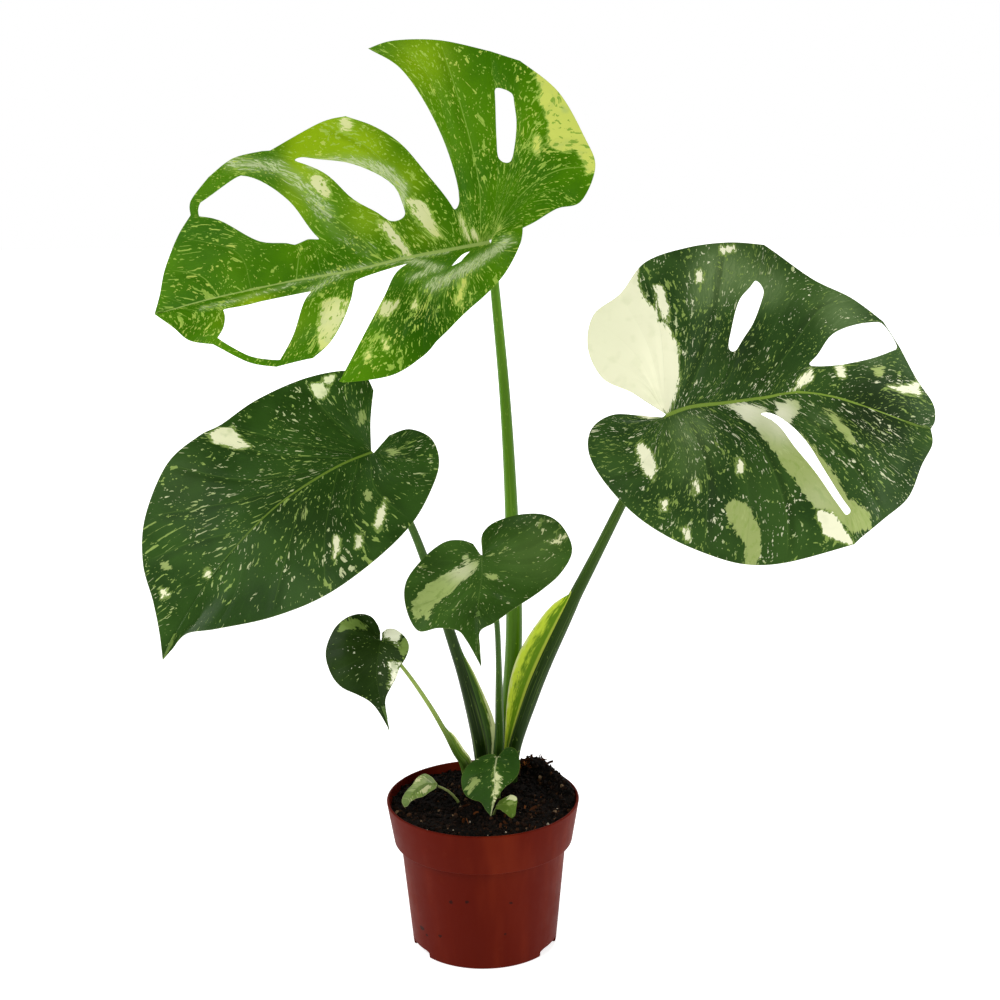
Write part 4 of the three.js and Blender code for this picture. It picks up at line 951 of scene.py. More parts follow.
# The small folded leaf low on the left
smallLeaf = {
    "at": (-58.5, -50, 220), "face": (30, -8), "toTip": (0.084, -0.511, -0.856), "ribWidth": 0.7,
    "midrib": [(2, 9, 3), (4, 24, 4), (3, 36, 3), (1, 46, 1), (0, 54, 0)],
    "veins": {
        1: [
            [0, (0, -5, 0)], [0, (1.5, -10, 0)], [0, (5, -15, 0)], [0, (12, -17.5, -1)],
            [0, (14, -9, 2), (21, -16, -3)], [0, (17, -5, 2), (29, -10, -5)], [0, (19, 2, 2), (35, 2, -7)],
            [0.1, (18, 12, 2), (33, 15, -6)], [0.22, (16, 20, 2), (27, 24.5, -4)], [0.4, (17, 31, -1)],
            [0.6, (10, 36, 0)], [0.78, (5, 43, 0)],
        ],
        -1: [
            [0, (-1, -4.5, -1)], [0, (-4, -7, -4)], [0, (-8.5, -6.5, -7.5)],
            [0, (-7, -1, -6), (-13, -2, -11.5)], [0, (-8, 4, -6), (-14.5, 3.5, -13)],
            [0.1, (-7, 8, -5), (-12.5, 10, -11)], [0.2, (-8.5, 16.5, -8)], [0.35, (-6, 23, -5.5)],
            [0.5, (-3, 28.5, -2.5)], [0.68, (0.5, 36, 0)], [0.85, (0.5, 46, 0)],
        ],
    },
    "cream": [
        [(-2, -6), (-7, -9), (-13, -6), (-10, -1), (-9, 3), (-6, 0), (-2, -2)],
        [(-4, 14), (-9, 14), (-8, 19), (-5, 26), (-2, 29), (-4, 22)],
    ],
    "pale": [
        [(28, -12), (24, -14), (18, -15), (12, -14), (8, -10), (9, -7), (13, -8), (19, -9), (24, -8)],
        [(-10, 0), (-12, -3), (-15, 1), (-15, 7), (-11, 11), (-9, 6)],
    ],
    "look": {
        "seed": 5, "veinGap": 7.0, "deep": (28, 48, 12), "light": (42, 64, 20), "pale": (126, 150, 72),
        "cream": (255, 255, 228), "blotch": 0.72, "fleck": 0.67, "grain": 0.69, "ribLine": 0.4,
        "ribShare": 0.25, "rib": (70, 96, 40), "fringe": 0.5, "veinShare": 0.12, "shine": 0.04,
    },
    "fine": (11, 9, 7), "pitch": 1.0,
    "body": {"Quilting": 0.0004, "Wave": 0.0005, "Rib width": 0.7},
}
makeBlade("small", smallLeaf, "marbled_leaf")

# The smallest full leaf, low in front
frontLeaf = {
    "at": (9.1, 1, 122.4), "face": (45, 0), "toTip": (-0.107, -0.703, -0.703), "ribWidth": 0.5,
    "midrib": [(0.5, 9, 1), (-0.5, 19, 1), (-0.5, 29, 1), (0, 39, 0)],
    "veins": {
        1: [
            [0, (1.5, -1.5, 0.5)], [0, (5.5, -1, 1)], [0, (11.5, 2, 0.5)], [0, (17.5, 7, -0.5)],
            [0.1, (10, 12, 1.5), (20.5, 14, -1)], [0.2, (19.5, 22, -1)], [0.35, (16.5, 27, -0.5)],
            [0.5, (12, 29.5, 0)], [0.7, (7, 31, 0.5)], [0.87, (3.5, 35.5, 0)],
        ],
        -1: [
            [0, (-4.5, -6, 1)], [0, (-8, -7, 1)], [0, (-12, -5, 0.5)], [0, (-8, 1, 1), (-14.5, 2, -0.5)],
            [0.12, (-14.5, 8.5, -1)], [0.28, (-11.5, 14.5, -0.5)], [0.45, (-7, 19.5, 0.5)],
            [0.62, (-3.5, 25.5, 0.5)], [0.8, (-1.5, 31, 0)],
        ],
    },
    "cream": [[(0, 8), (-3, 13), (-3, 21), (-2, 26), (-1, 33), (-1, 29), (-1, 22), (0, 15)]],
    "pale": [[(12, 14), (9, 16), (12, 20), (15, 26), (18, 23), (15, 18)]],
    "look": {
        "seed": 6, "veinGap": 5.0, "deep": (40, 72, 18), "light": (56, 92, 28), "blotch": 0.7, "fleck": 0.65,
        "grain": 0.7, "rib": (222, 226, 170), "ribLine": 0.6, "ribEnd": 1.6, "ribShare": 0.5,
        "veinShare": 0.1,
    },
    "fine": (9, 7, 6), "pitch": 0.9,
    "body": {"Quilting": 0.0003, "Wave": 0.0003, "Rib width": 0.6, "Rib height": 0.0006, "Thickness": 0.0008},
}
makeBlade("front", frontLeaf, "marbled_leaf")

# A pale first leaf near the soil on the left
sproutLeaf = {
    "at": (-28.5, 4, 103.5), "face": (70, -25), "toTip": (-0.752, -0.583, -0.308), "ribWidth": 0.4,
    "midrib": [(4, 4, 1.5), (5.5, 11, 1.5), (3.5, 19, 1), (0, 27, 0)],
    "veins": {
        1: [
            [0, (5.5, -1.5, 0.5)], [0, (11.5, -2, 0)], [0.1, (14, -0.5, 0)], [0.25, (14.5, 4.5, 0)],
            [0.42, (12, 10, 0)], [0.6, (10.5, 16, 0)], [0.78, (8.5, 21, -0.5)], [0.9, (5.5, 24.5, -0.5)],
        ],
        -1: [
            [0, (-2.5, 3, 0)], [0.15, (-2, 7.5, 0)], [0.4, (-2, 13, 0)], [0.6, (0, 17, 0)],
            [0.78, (0.5, 21, 0)], [0.9, (-1, 25, 0)],
        ],
    },
    "cream": [[(0, 3), (3, 6), (4, 14), (1, 13), (-1, 8)], [(10, 0), (14, 3), (13, 9), (11, 8)]],
    "pale": [[(6, 2), (12, 0), (13, 8), (9, 16), (5, 14)]],
    "look": {
        "seed": 7, "veinGap": 7.0, "stretch": 0.2, "deep": (88, 114, 52), "light": (136, 154, 92),
        "pale": (172, 184, 124), "cream": (216, 216, 162), "blotch": 0.6, "fleck": 0.6, "grain": 0.66,
        "rim": (196, 200, 144), "ribShare": 0.2, "veinShare": 0.1, "paleShare": 0.7, "islands": 0.56,
    },
    "fine": (8, 6, 5), "pitch": 0.8,
    "body": {"Quilting": 0.0002, "Wave": 0.0002, "Rib width": 0.5, "Rib height": 0.0004, "Thickness": 0.0008},
}
makeBlade("sprout", sproutLeaf, "young_leaf")

# A pale first leaf near the soil in front
shootLeaf = {
    "at": (8.2, -18, 97.8), "face": (60, 10), "toTip": (0.747, -0.543, -0.384), "ribWidth": 0.4,
    "midrib": [(-3, 2, 1), (-5, 5.5, 1), (-4, 10, 0.5), (0, 13, 0)],
    "veins": {
        1: [[0, (2, 1.5, 0)], [0.25, (0, 4, 0)], [0.55, (0, 8, 0)], [0.8, (0.5, 11, 0)]],
        -1: [
            [0, (-4, -1, 0.5)], [0, (-8.5, 0, 0.5)], [0.15, (-13, 1, 0)], [0.35, (-14, 4.5, 0)],
            [0.55, (-12, 7, 0)], [0.75, (-7.5, 10, 0)], [0.9, (-3, 13, 0)],
        ],
    },
    "cream": [[(-9, 2), (-14, 1), (-15, 6), (-12, 6)]],
    "pale": [[(-5, 2), (-9, 4), (-10, 8), (-5, 6)]],
    "look": {
        "seed": 8, "veinGap": 3.0, "deep": (74, 102, 26), "light": (102, 130, 48), "pale": (150, 168, 92),
        "blotch": 0.64, "fleck": 0.63, "grain": 0.7, "ribShare": 0.2, "veinShare": 0.1,
    },
    "fine": (7, 5, 4), "pitch": 0.7,
    "body": {"Quilting": 0.0002, "Wave": 0.0002, "Rib width": 0.4, "Rib height": 0.0004, "Thickness": 0.0008},
}
makeBlade("shoot", shootLeaf, "young_leaf")


def stemGroup():  # a tube along the route, with a thin sheath on one side
    tree = newGroup("stem", {
        "Around": 32, "Steps": 60, "Sheath side": (1, 0, 0), "Ridges": 0.03, "Sheath half thickness": 0.0003})
    line = tree.node("GeometryNodeMeshToCurve", {"Mesh": tree.input("Geometry")}, "Curve")
    route = tree.node("GeometryNodeCurveSplineType", {"Curve": line}, spline_type="CATMULL_ROM")
    route = tree.node("GeometryNodeSetSplineResolution", {"Geometry": route, "Resolution": 16})
    tube = tree.tube(tree.input("Around"), tree.input("Steps"), "TRIANGLE_FAN")
    x, y, along = (tree.position().part(axis) for axis in "XYZ")
    stored = tree.store(tree.store(tube, "along", along + 0.5), "turn", x)

    def sampled(name):  # a value of the route, at this point's place along it
        inputs = {"Curves": route, "Factor": tree.named("along"), "Value": tree.named(name)}
        return tree.node("GeometryNodeSampleCurve", inputs, "Value", data_type="FLOAT", mode="FACTOR",
                         use_all_curves=True)

    thick, sheath = sampled("thick"), sampled("sheath")
    middle, ahead = thick.other("Position"), thick.other("Tangent")
    side = tree.input("Sheath side")
    side = (side - ahead * side.math("DOT_PRODUCT", ahead).other("Value")).math("NORMALIZE")
    up = ahead.math("CROSS_PRODUCT", side)
    share = tree.smooth(tree.named("turn"), 0.8, 1.0) * tree.smooth(sheath, 0.0, 0.0012)
    angle = y.math("ARCTAN2", x)
    ridge = 1.0 + tree.input("Ridges") * (angle * 9.0).math("SINE") * (angle * 4.0).math("COSINE")
    outX = thick * ridge * x + share * sheath
    outY = thick * ridge * y * (1.0 - share) + share * y.math("SIGN") * tree.input("Sheath half thickness")
    shaped = tree.shape(stored, Position=middle + side * outX + up * outY)
    return closeGroup(tree, tree.store(shaped, "blade", share))


def stemMaterial(name, look):
    tree = newSkin(name)
    along, turn, blade = (tree.attribute(key) for key in ("along", "turn", "blade"))
    lined = tree.vector(turn * look["lines"], along * look["dashes"], look["seed"])
    streak = tree.noise(lined, 1.0, 3.0, 0.6)
    change, joint, rough = look["change"], look["jointShare"], look["edgeRough"]
    # the stem is darker low down, painted shade where the stems and leaves shade each other, and darker still
    # at its foot
    colour = tree.mix(look["low"], look["high"], tree.smooth(along, change - 0.25, change + 0.25))
    colour = tree.mix(colour, look["streak"], tree.smooth(streak, 0.52, 0.7) * look["streakShare"])
    colour = tree.mix(colour, look["base"], tree.smooth(along, look["foot"], 0.0))

    # the sheath: its face, the lit part, a strip at its foot and a pale ragged edge
    ragged = tree.noise(tree.vector(blade * rough[0], along * rough[1], look["seed"]), 1.0, 3.0, 0.65) - 0.5
    colour = tree.mix(colour, look["sheath"], tree.smooth(blade, 0.03, 0.12))
    colour = tree.mix(colour, look["sheathLit"], tree.smooth(blade + ragged * 1.4, 0.35, 0.8))
    colour = tree.mix(colour, look["strip"], tree.smooth(blade, 0.02, 0.05) * tree.smooth(blade, 0.2, 0.12))
    edge = look["edgeFrom"] - tree.smooth(along, 0.3, 0.1, 0.0, look["edgeMore"])
    colour = tree.mix(colour, look["sheathEdge"], tree.smooth(blade + ragged * 0.5, edge, edge + 0.16))
    colour = tree.mix(colour, look["joint"], tree.smooth(along, 1.0 - joint, 1.0 - joint * 0.6))
    fleck = tree.noise(tree.place * (1.0, 1.0, 0.4), 0.5, 2.0)
    colour = tree.mix(colour, look["streak"], tree.smooth(fleck, 0.68, 0.72) * 0.5)
    gloss = tree.noise(tree.place, 0.1, 2.0) * 0.15 + 0.3
    return finishSkin(tree, colour, gloss, look["shine"], streak, 0.25, 0.0004)


stemLook = {
    "seed": 1.0, "lines": 6.0, "dashes": 3.0, "low": (44, 74, 14), "high": (58, 90, 22), "change": 0.5,
    "streak": (112, 138, 62), "streakShare": 0.35, "base": (26, 44, 8), "foot": 0.12, "sheath": (60, 92, 20),
    "sheathLit": (70, 104, 26), "strip": (60, 92, 20), "sheathEdge": (206, 214, 150), "edgeFrom": 0.84,
    "edgeMore": 0.0, "edgeRough": (6.0, 26.0), "joint": (88, 118, 44), "jointShare": 0.05, "shine": 0.12,
}
stemTree = stemGroup()
stepLength, leafInside = 4, 0.9  # how deep a stem's last point lies in its leaf


def makeStem(name, stem):
    leaf = leaves[name]
    line = np.array([[*entry, 0.0][:5] for entry in stem["route"]], float)
    inLeaf = np.array([0, leafInside * line[-1, 3], -leafInside])
    line[-1, :3] = np.array(leaf["at"]) + inLeaf @ leafBasis(leaf)
    piece = f"stem_{name}_look"
    length = lengths(np.diff(line[:, :3], axis=0)).sum()
    inputs = {
        "Around": stem.get("sides", 40), "Steps": int(length / stepLength),
        "Sheath side": stem.get("sheathTo", (1, 0, 0)),
        "Material": stemMaterial(piece + " skin", {**stemLook, **stem["look"]}),
    }
    edges = [(i, i + 1) for i in range(len(line) - 1)]
    values = {"thick": line[:, 3] * mm, "sheath": line[:, 4] * mm}
    source = meshObject(piece + "_route", line[:, :3] * mm, edges=edges, values=values)
    finishPiece(grow(source, stemTree, piece, inputs, sharp=60), "stem_skin", "stem_" + name)


# Each route entry is x, y, z, radius and how far the sheath reaches past the stem
stems = {
    "top": {
        "route": [(9, 33, 90, 5.8), (14, 35, 118, 5.6), (19, 35, 160, 5.3), (21, 34, 205, 5),
                  (20, 31, 274, 4), (17, 26, 345, 3.3), (12, 18, 413, 2.8), (10, 11, 438, 2.4),
                  (9, 8, 447, 1.6)],
        "look": {"seed": 1.0, "low": (70, 108, 6), "high": (80, 124, 8), "streak": (126, 162, 50),
                 "streakShare": 0.3, "joint": (120, 160, 50)},
    },
    "right": {
        "route": [(17, 23, 90, 4.3), (19.5, 22, 119, 4.5, 1.5), (31, 23, 155, 5, 10),
                  (40, 23, 178, 4.8, 12.5), (50, 22, 201, 4.5, 9.5), (55.5, 20.5, 214, 4.2, 5.5),
                  (58.4, 19.8, 221, 4, 0.2), (64, 18, 233, 3.7), (74, 14, 255, 3.3),
                  (88, 7, 287, 2.9), (103, 0, 320, 2.5), (110, -6, 339, 2.1), (112, -8, 344, 1.4)],
        "look": {"seed": 2.0, "low": (30, 54, 0), "high": (50, 78, 10), "streakShare": 0.5,
                 "sheath": (96, 136, 0), "sheathLit": (200, 220, 56), "strip": (172, 186, 60),
                 "sheathEdge": (218, 226, 150)},
        "sheathTo": (-1, -0.1, 0.3),
    },
    "left": {
        "route": [(2, 21, 90, 5), (0, 22, 115, 5.4, 2.5), (-3, 22, 135, 5.2, 6), (-10, 21, 166, 4.2, 3),
                  (-16, 19, 188, 3.6, 0.2), (-30, 10, 239, 2.8), (-41, 0, 275, 2.4), (-53, -10, 303, 2.1),
                  (-60, -16, 321, 1.9), (-62, -18, 327, 1.3)],
        "look": {"seed": 3.0, "low": (24, 44, 2), "high": (58, 90, 26), "sheath": (44, 74, 10),
                 "sheathLit": (104, 134, 40), "edgeFrom": 0.78, "edgeMore": 0.35, "streakShare": 0.45},
        "sheathTo": (1, -0.1, 0.3),
    },
    "middle": {
        "route": [(10, 13.5, 90, 3.3), (10, 12.5, 119, 3.3), (11, 5, 137, 3), (11, -11, 166, 2.4),
                  (11, -28, 199, 1.8), (10, -42, 230, 1.7), (6, -54, 260, 1.6), (2, -60, 276, 1.1)],
        "look": {"seed": 4.0, "low": (40, 68, 14), "high": (50, 82, 20)}, "sides": 28,
    },
    "small": {
        "route": [(-7, 12, 90, 3.2), (-11, 6, 115, 3, 2), (-16, -4, 128, 2.2, 3), (-20.5, -16, 143, 1.8, 2.2),
                  (-23.4, -22, 151.5, 1.6, 0.2), (-30.8, -34, 171, 1.4), (-42.7, -42, 194, 1.2),
                  (-58.5, -50, 220, 0.9)],
        "look": {"seed": 5.0, "low": (62, 92, 22), "high": (136, 158, 74), "streak": (170, 186, 110),
                 "sheath": (96, 122, 40), "sheathLit": (120, 144, 60), "edgeFrom": 0.6},
        "sheathTo": (1, 0, 0.5), "sides": 28,
    },
    "front": {
        "route": [(9.5, 3, 86, 1.5), (9.5, 3, 104, 1.4), (9.1, 1, 122.4, 1)],
        "look": {"seed": 6.0, "low": (70, 96, 36), "high": (90, 118, 50)}, "sides": 20,
    },
    "sprout": {
        "route": [(-12, 0, 86, 1), (-16.8, 2, 94.2, 0.9), (-22, 3, 99.3, 0.8), (-28.5, 4, 103.5, 0.7)],
        "look": {"seed": 7.0, "low": (110, 124, 60), "high": (170, 180, 110)}, "sides": 16,
    },
    "shoot": {
        "route": [(6, -15, 86, 1), (7, -16, 92, 0.9), (8.2, -18, 97.8, 0.6)],
        "look": {"seed": 8.0, "low": (90, 110, 46), "high": (130, 146, 80)}, "sides": 16,
    },
}
for name, stem in stems.items():
    makeStem(name, stem)
print("stems made")

potLook = {
    "height": 96, "rim": 60, "base": 45, "collar": 27, "step": 4, "wall": 1.6, "floor": 2.2, "waist": 51.5,
    "notchAzimuths": (-64.5, 64.5, 180), "notchSize": (12, 23, 9), "notchAt": 47, "sides": 160,
    "red": (86, 14, 0), "pale": (132, 46, 16), "dust": (130, 78, 52), "speck": (34, 12, 8), "roughness": 0.5,
    "specks": ((-20.2, 46.1, 1.2), (-10.3, 47.6, 1.1), (16.6, 45.6, 0.9), (-38.9, 19.4, 1.5),
               (-27.5, 19.7, 1.1), (-35.8, 16.4, 0.8), (12.7, 24.2, 0.7)),
}


def rounded(corners):  # [x, z, radius] corners as a line with arcs of that radius
    arcSteps = 5
    line = []
    for i, (x, z, radius) in enumerate(corners):
        here = np.array([x, z], float)
        if radius == 0 or i in (0, len(corners) - 1):
            line.append(here)
            continue
        before, after = np.array(corners[i - 1][:2]) - here, np.array(corners[i + 1][:2]) - here
        before, after = before / np.linalg.norm(before), after / np.linalg.norm(after)
        half = math.acos(np.clip(before @ after, -1, 1)) / 2
        reach = radius / math.tan(half)
        centre = here + (before + after) / np.linalg.norm(before + after) * radius / math.sin(half)
        first, last = here + before * reach - centre, here + after * reach - centre
        for step in range(arcSteps + 1):
            ray = first + (last - first) * step / arcSteps
            line.append(centre + ray / np.linalg.norm(ray) * radius)
    return np.array(line)


def turnedGroup(azimuths):  # a profile turned round the upright axis, notched at its foot
    tree = newGroup("turned", {
        "Around": 128, "Points": 10, "Notches": False, "Notch size": (0, 0, 0), "Notch at": 0.0})
    reach = tree.input("Notch at")
    tube = tree.tube(tree.input("Around"), tree.input("Points") - 1.0, "NONE")
    position = tree.position()
    row = ((position.part("Z") + 0.5) * (tree.input("Points") - 1.0)).math("ROUND")
    inputs = {"Geometry": tree.input("Geometry"), "Index": row, "Value": position}
    profile = tree.node("GeometryNodeSampleIndex", inputs, "Value", data_type="FLOAT_VECTOR")
    angle = position.part("Y").math("ARCTAN2", position.part("X"))
    radius = profile.part("X")
    place = tree.vector(radius * angle.math("COSINE"), radius * angle.math("SINE"), profile.part("Z"))
    turned = tree.shape(tube, Position=place)
    solid = tree.node("GeometryNodeMergeByDistance", {"Geometry": turned, "Distance": tiny})
    blocks = []
    for azimuth in azimuths:
        turn = math.radians(azimuth - 90)
        block = tree.node("GeometryNodeMeshCube", {"Size": tree.input("Notch size")}, "Mesh")
        spot = tree.vector(reach * math.cos(turn), reach * math.sin(turn))
        inputs = {"Geometry": block, "Translation": spot, "Rotation": (0, 0, turn)}
        blocks.append(tree.node("GeometryNodeTransform", inputs))
    cut = tree.node("GeometryNodeMeshBoolean", {"Mesh 1": solid, "Mesh 2": tree.join(*blocks)}, "Mesh",
                    operation="DIFFERENCE", solver="EXACT")
    inputs = {"Switch": tree.input("Notches"), "False": solid, "True": cut}
    return closeGroup(tree, tree.node("GeometryNodeSwitch", inputs, "Output", input_type="GEOMETRY"))


def distance(x, y):
    return (x ** 2.0 + y ** 2.0) ** 0.5


def potMaterial(name, look):
    tree = newSkin(name)
    x, y, z = (tree.place.part(axis) for axis in "XYZ")
    band = tree.noise(tree.place * (1.0, 1.0, 0.15), 0.05, 3.0)
    colour = tree.mix(look["red"], look["pale"], tree.smooth(band, 0.45, 0.8) * 0.35)
    film = tree.noise(tree.place, 0.12, 4.0, 0.65)
    colour = tree.mix(colour, look["dust"], tree.smooth(film, 0.58, 0.85) * 0.1)
    front = tree.smooth(y, 0.0, -4.0)
    uneven = (tree.noise(tree.place, 0.9, 2.0) - 0.5) * 1.6
    for atX, atZ, size in look["specks"]:  # soil specks on the front
        far = distance(x - atX, z - atZ) + uneven
        colour = tree.mix(colour, look["speck"], tree.smooth(far, size + 0.3, size - 0.3) * front * 0.85)
    ripple = tree.noise(tree.place * (1.0, 1.0, 0.2), 0.25, 2.0)
    return finishSkin(tree, colour, film * 0.3 + (look["roughness"] - 0.1), 0.05, ripple, 0.12, 0.0005)


def profileObject(name, line):  # a profile to be turned: radius on X, height on Z
    return meshObject(name, [(x * mm, 0, z * mm) for x, z in line])


turned = turnedGroup(potLook["notchAzimuths"])
p = potLook
collarAt, inside, shoulder = p["height"] - p["collar"], p["waist"] - p["wall"], p["waist"] + p["step"]
lip = p["wall"] / 2 - 0.02
potLine = rounded([
    (0, 0, 0), (p["base"], 0, 1.2), (p["waist"], collarAt - 1, 0.8), (shoulder, collarAt, 0.9),
    (p["rim"], p["height"], lip), (p["rim"] - p["wall"], p["height"], lip),
    (shoulder - p["wall"], collarAt + 1, 0.8), (inside, collarAt - 0.4, 0.5),
    (p["base"] - p["wall"], p["floor"], 1.0), (0, p["floor"], 0)])
pot = grow(profileObject("pot_profile", potLine), turned, "pot_look", {
    "Around": p["sides"], "Points": len(potLine), "Notches": True, "Notch at": p["notchAt"] * mm,
    "Notch size": tuple(v * mm for v in p["notchSize"]), "Material": potMaterial("pot skin", p)}, sharp=35)
finishPiece(pot, "pot_plastic", "pot")

# Soil: filled to just under the rim, heaped at the crown and behind it on the right
soilLook = {
    "level": 90.6, "bottom": 3.8, "gap": 1.9, "rough": 2.2, "dark": (9, 6, 4), "brown": (28, 17, 10),
    "heaps": ((9.5, 23, 8, 14), (32, 44, 10, 9), (44, 36, 6.5, 9), (53, 20, 7, 9), (57, 4, 5, 9),
              (-40, 20, 1.5, 14)),
    "sides": 180, "rings": 60, "crumbs": 0.42, "smallest": 0.35, "largest": 2.2,
    "coirAt": (32, 42, 99), "coirSize": (9, 7, 5.5), "coirCount": 420, "strayCount": 60,
    "perlite": ((40, -33, 0.8), (-31, -45, 0.6), (14, -44, 0.5), (27, -41, 0.5), (-34, -40, 0.6),
                (24, 30, 0.7), (-18, -40, 0.5), (3, -48, 0.4), (46, -10, 0.6), (-8, -28, 0.5)),
}


def soilMaterial(name, look):
    tree = newSkin(name)
    crumb = tree.noise(tree.place, 0.35, 4.0, 0.7)
    colour = tree.mix(look["dark"], look["brown"], tree.smooth(crumb, 0.45, 0.75))
    return finishSkin(tree, colour, 0.95, 0.1, crumb, 0.8, 0.001)


def crumbMaterial(name, stops):  # each crumb's own tone picks its colour
    tree = newSkin(name)
    tone = tree.attribute("tone")
    colour = stops[0][1]
    for at, shade in stops[1:]:
        colour = tree.mix(colour, shade, tree.smooth(tone, at - 0.01, at + 0.01))
    return finishSkin(tree, colour, 0.9, 0.1)


def blendMaterial(name, first, second, scale, change, roughness):  # two colours, by one noise
    tree = newSkin(name)
    share = tree.smooth(tree.noise(tree.place, scale, 3.0), *change)
    return finishSkin(tree, tree.mix(first, second, share), roughness)


def earthGroup(heaps):  # lifts a turned soil body's top into heaps and clods
    tree = newGroup("earth", {"Level": 0.09, "Rough": 0.002})
    position = tree.position()
    x, y, z = (position.part(axis) for axis in "XYZ")
    lift = (tree.noise(position * 1000.0, 0.09, 4.0, 0.65) - 0.5) * tree.input("Rough") * 3.0
    for heapX, heapY, height, spread in heaps:
        awayX, awayY = x - heapX * mm, y - heapY * mm
        square = awayX * awayX + awayY * awayY
        lift = lift + (square * (-0.5 / (spread * mm) ** 2)).math("EXPONENT") * (height * mm)
    rimFade = tree.smooth((x * x + y * y) ** 0.5, 0.0575, 0.054, 0.8, 1.0)
    high = z.math("GREATER_THAN", tree.input("Level") - 0.0002)
    moved = tree.shape(tree.input("Geometry"), Selection=high, Offset=tree.vector(0.0, 0.0, lift * rimFade))
    return closeGroup(tree, moved)


def wallAt(z):  # how far the soil reaches at a height
    if z < collarAt:
        return p["base"] + (p["waist"] - p["base"]) * z / collarAt - soilLook["gap"]
    return shoulder + (p["rim"] - p["waist"] - p["step"]) * (z - collarAt) / p["collar"] - soilLook["gap"]


level, bottom, rings = soilLook["level"], soilLook["bottom"], soilLook["rings"]
soilLine = [
    (0, bottom), (wallAt(bottom) - 1, bottom), (wallAt(66), 66), (wallAt(66), 70.5), (wallAt(72), 72.5),
    (wallAt(level), level), *[(wallAt(level) * (1 - step / rings), level) for step in range(1, rings + 1)],
]
plainSoil = grow(profileObject("soil_profile", soilLine), turned, "soil_plain", {
    "Around": soilLook["sides"], "Points": len(soilLine), "Notches": False})
soil = grow(plainSoil, earthGroup(soilLook["heaps"]), "soil_look", {
    "Level": level * mm, "Rough": soilLook["rough"] * mm, "Material": soilMaterial("soil skin", soilLook)})
finishPiece(soil, "potting_soil", "soil")


def scatterOn(tree, points, instance, size, seed):  # turned any way, each with a tone of its own
    placed = tree.node("GeometryNodeInstanceOnPoints", {
        "Points": points, "Instance": instance, "Rotation": tree.anyTurn(seed), "Scale": size}, "Instances")
    return closeGroup(tree, tree.store(placed, "tone", tree.random(seed + 2.0), "INSTANCE"), smooth=False)


def crumbGroup():  # crumbs scattered over the soil's top
    tree = newGroup("crumbs", {"Per area": 1.0, "Level": 0.09, "Smallest": 0.3, "Largest": 1.0, "Seed": 1})
    seed, position = tree.input("Seed"), tree.position()
    up = tree.node("GeometryNodeInputNormal").part("Z")
    top = up.math("GREATER_THAN", 0.3) * position.part("Z").math("GREATER_THAN", tree.input("Level") - 0.003)
    top = top * distance(position.part("X"), position.part("Y")).math("LESS_THAN", 0.0565)
    dense = tree.input("Per area")
    inputs = {"Mesh": tree.input("Geometry"), "Selection": top, "Density": dense, "Seed": seed}
    spots = tree.node("GeometryNodeDistributePointsOnFaces", inputs, "Points", distribute_method="RANDOM")
    ball = tree.node("GeometryNodeMeshIcoSphere", {"Radius": 0.001, "Subdivisions": 1}, "Mesh")
    lumpy = tree.shape(ball, Offset=(tree.noise(position * 900.0, 1.0, 1.0) - 0.5) * 1.4 * position)
    spread = tree.input("Largest") - tree.input("Smallest")
    scale = tree.input("Smallest") + spread * (tree.random(seed + 1.0) ** 3.0)
    return scatterOn(tree, spots, lumpy, tree.vector(scale, scale * 0.8, scale * 0.65), seed)


def fibreGroup():  # short bent fibres standing on scattered points
    tree = newGroup("fibres", {"Length": 6.0, "Radius": 0.12, "Seed": 1})
    seed = tree.input("Seed")
    first, middle, last = (-0.0005, 0, 0), (0, 0.0004, 0.0002), (0.0005, 0, 0.0001)
    inputs = {"Resolution": 7, "Start": first, "Middle": middle, "End": last}
    bow = tree.node("GeometryNodeCurveQuadraticBezier", inputs, "Curve")
    inputs = {"Resolution": 4, "Radius": tree.input("Radius") * mm}
    ring = tree.node("GeometryNodeCurvePrimitiveCircle", inputs, "Curve")
    inputs = {"Curve": bow, "Profile Curve": ring, "Fill Caps": True}
    hair = tree.node("GeometryNodeCurveToMesh", inputs, "Mesh")
    long = tree.random(seed + 1.0, Min=0.4) * tree.input("Length")
    points = tree.node("GeometryNodeMeshToPoints", {"Mesh": tree.input("Geometry")}, "Points")
    return scatterOn(tree, points, hair, tree.vector(long, long, 1.0), seed)


crumbColours = (
    (0.0, (10, 7, 4)), (0.35, (20, 12, 7)), (0.7, (34, 20, 11)), (0.93, (62, 38, 20)), (0.985, (120, 96, 72)))
crumbs = grow(newObject("crumb_bed", soil.data.copy()), crumbGroup(), "crumbs", {
    "Per area": soilLook["crumbs"] / mm ** 2, "Level": level * mm, "Smallest": soilLook["smallest"],
    "Largest": soilLook["largest"], "Seed": 4, "Material": crumbMaterial("crumb skin", crumbColours)})
finishPiece(crumbs, "potting_soil")

scatter = np.random.default_rng(7)
cloud = scatter.normal(size=(soilLook["coirCount"], 3)) * 0.45 * np.array(soilLook["coirSize"]) * (1, 1, 0.6)
count = soilLook["strayCount"]
strayX, strayY = scatter.uniform(-40, 40, count), scatter.uniform(-45, 40, count)
strays = np.column_stack([strayX, strayY, np.full(count, level + 0.6)])
fibreAt = np.vstack([cloud + np.array(soilLook["coirAt"]), strays])
fibreColours = ((0.0, (70, 38, 18)), (0.4, (116, 66, 30)), (0.7, (40, 22, 12)))
fibres = grow(meshObject("fibre_bed", fibreAt * mm), fibreGroup(), "fibres", {
    "Length": 7.0, "Radius": 0.13, "Seed": 9, "Material": crumbMaterial("fibre skin", fibreColours)})
finishPiece(fibres, "potting_soil")

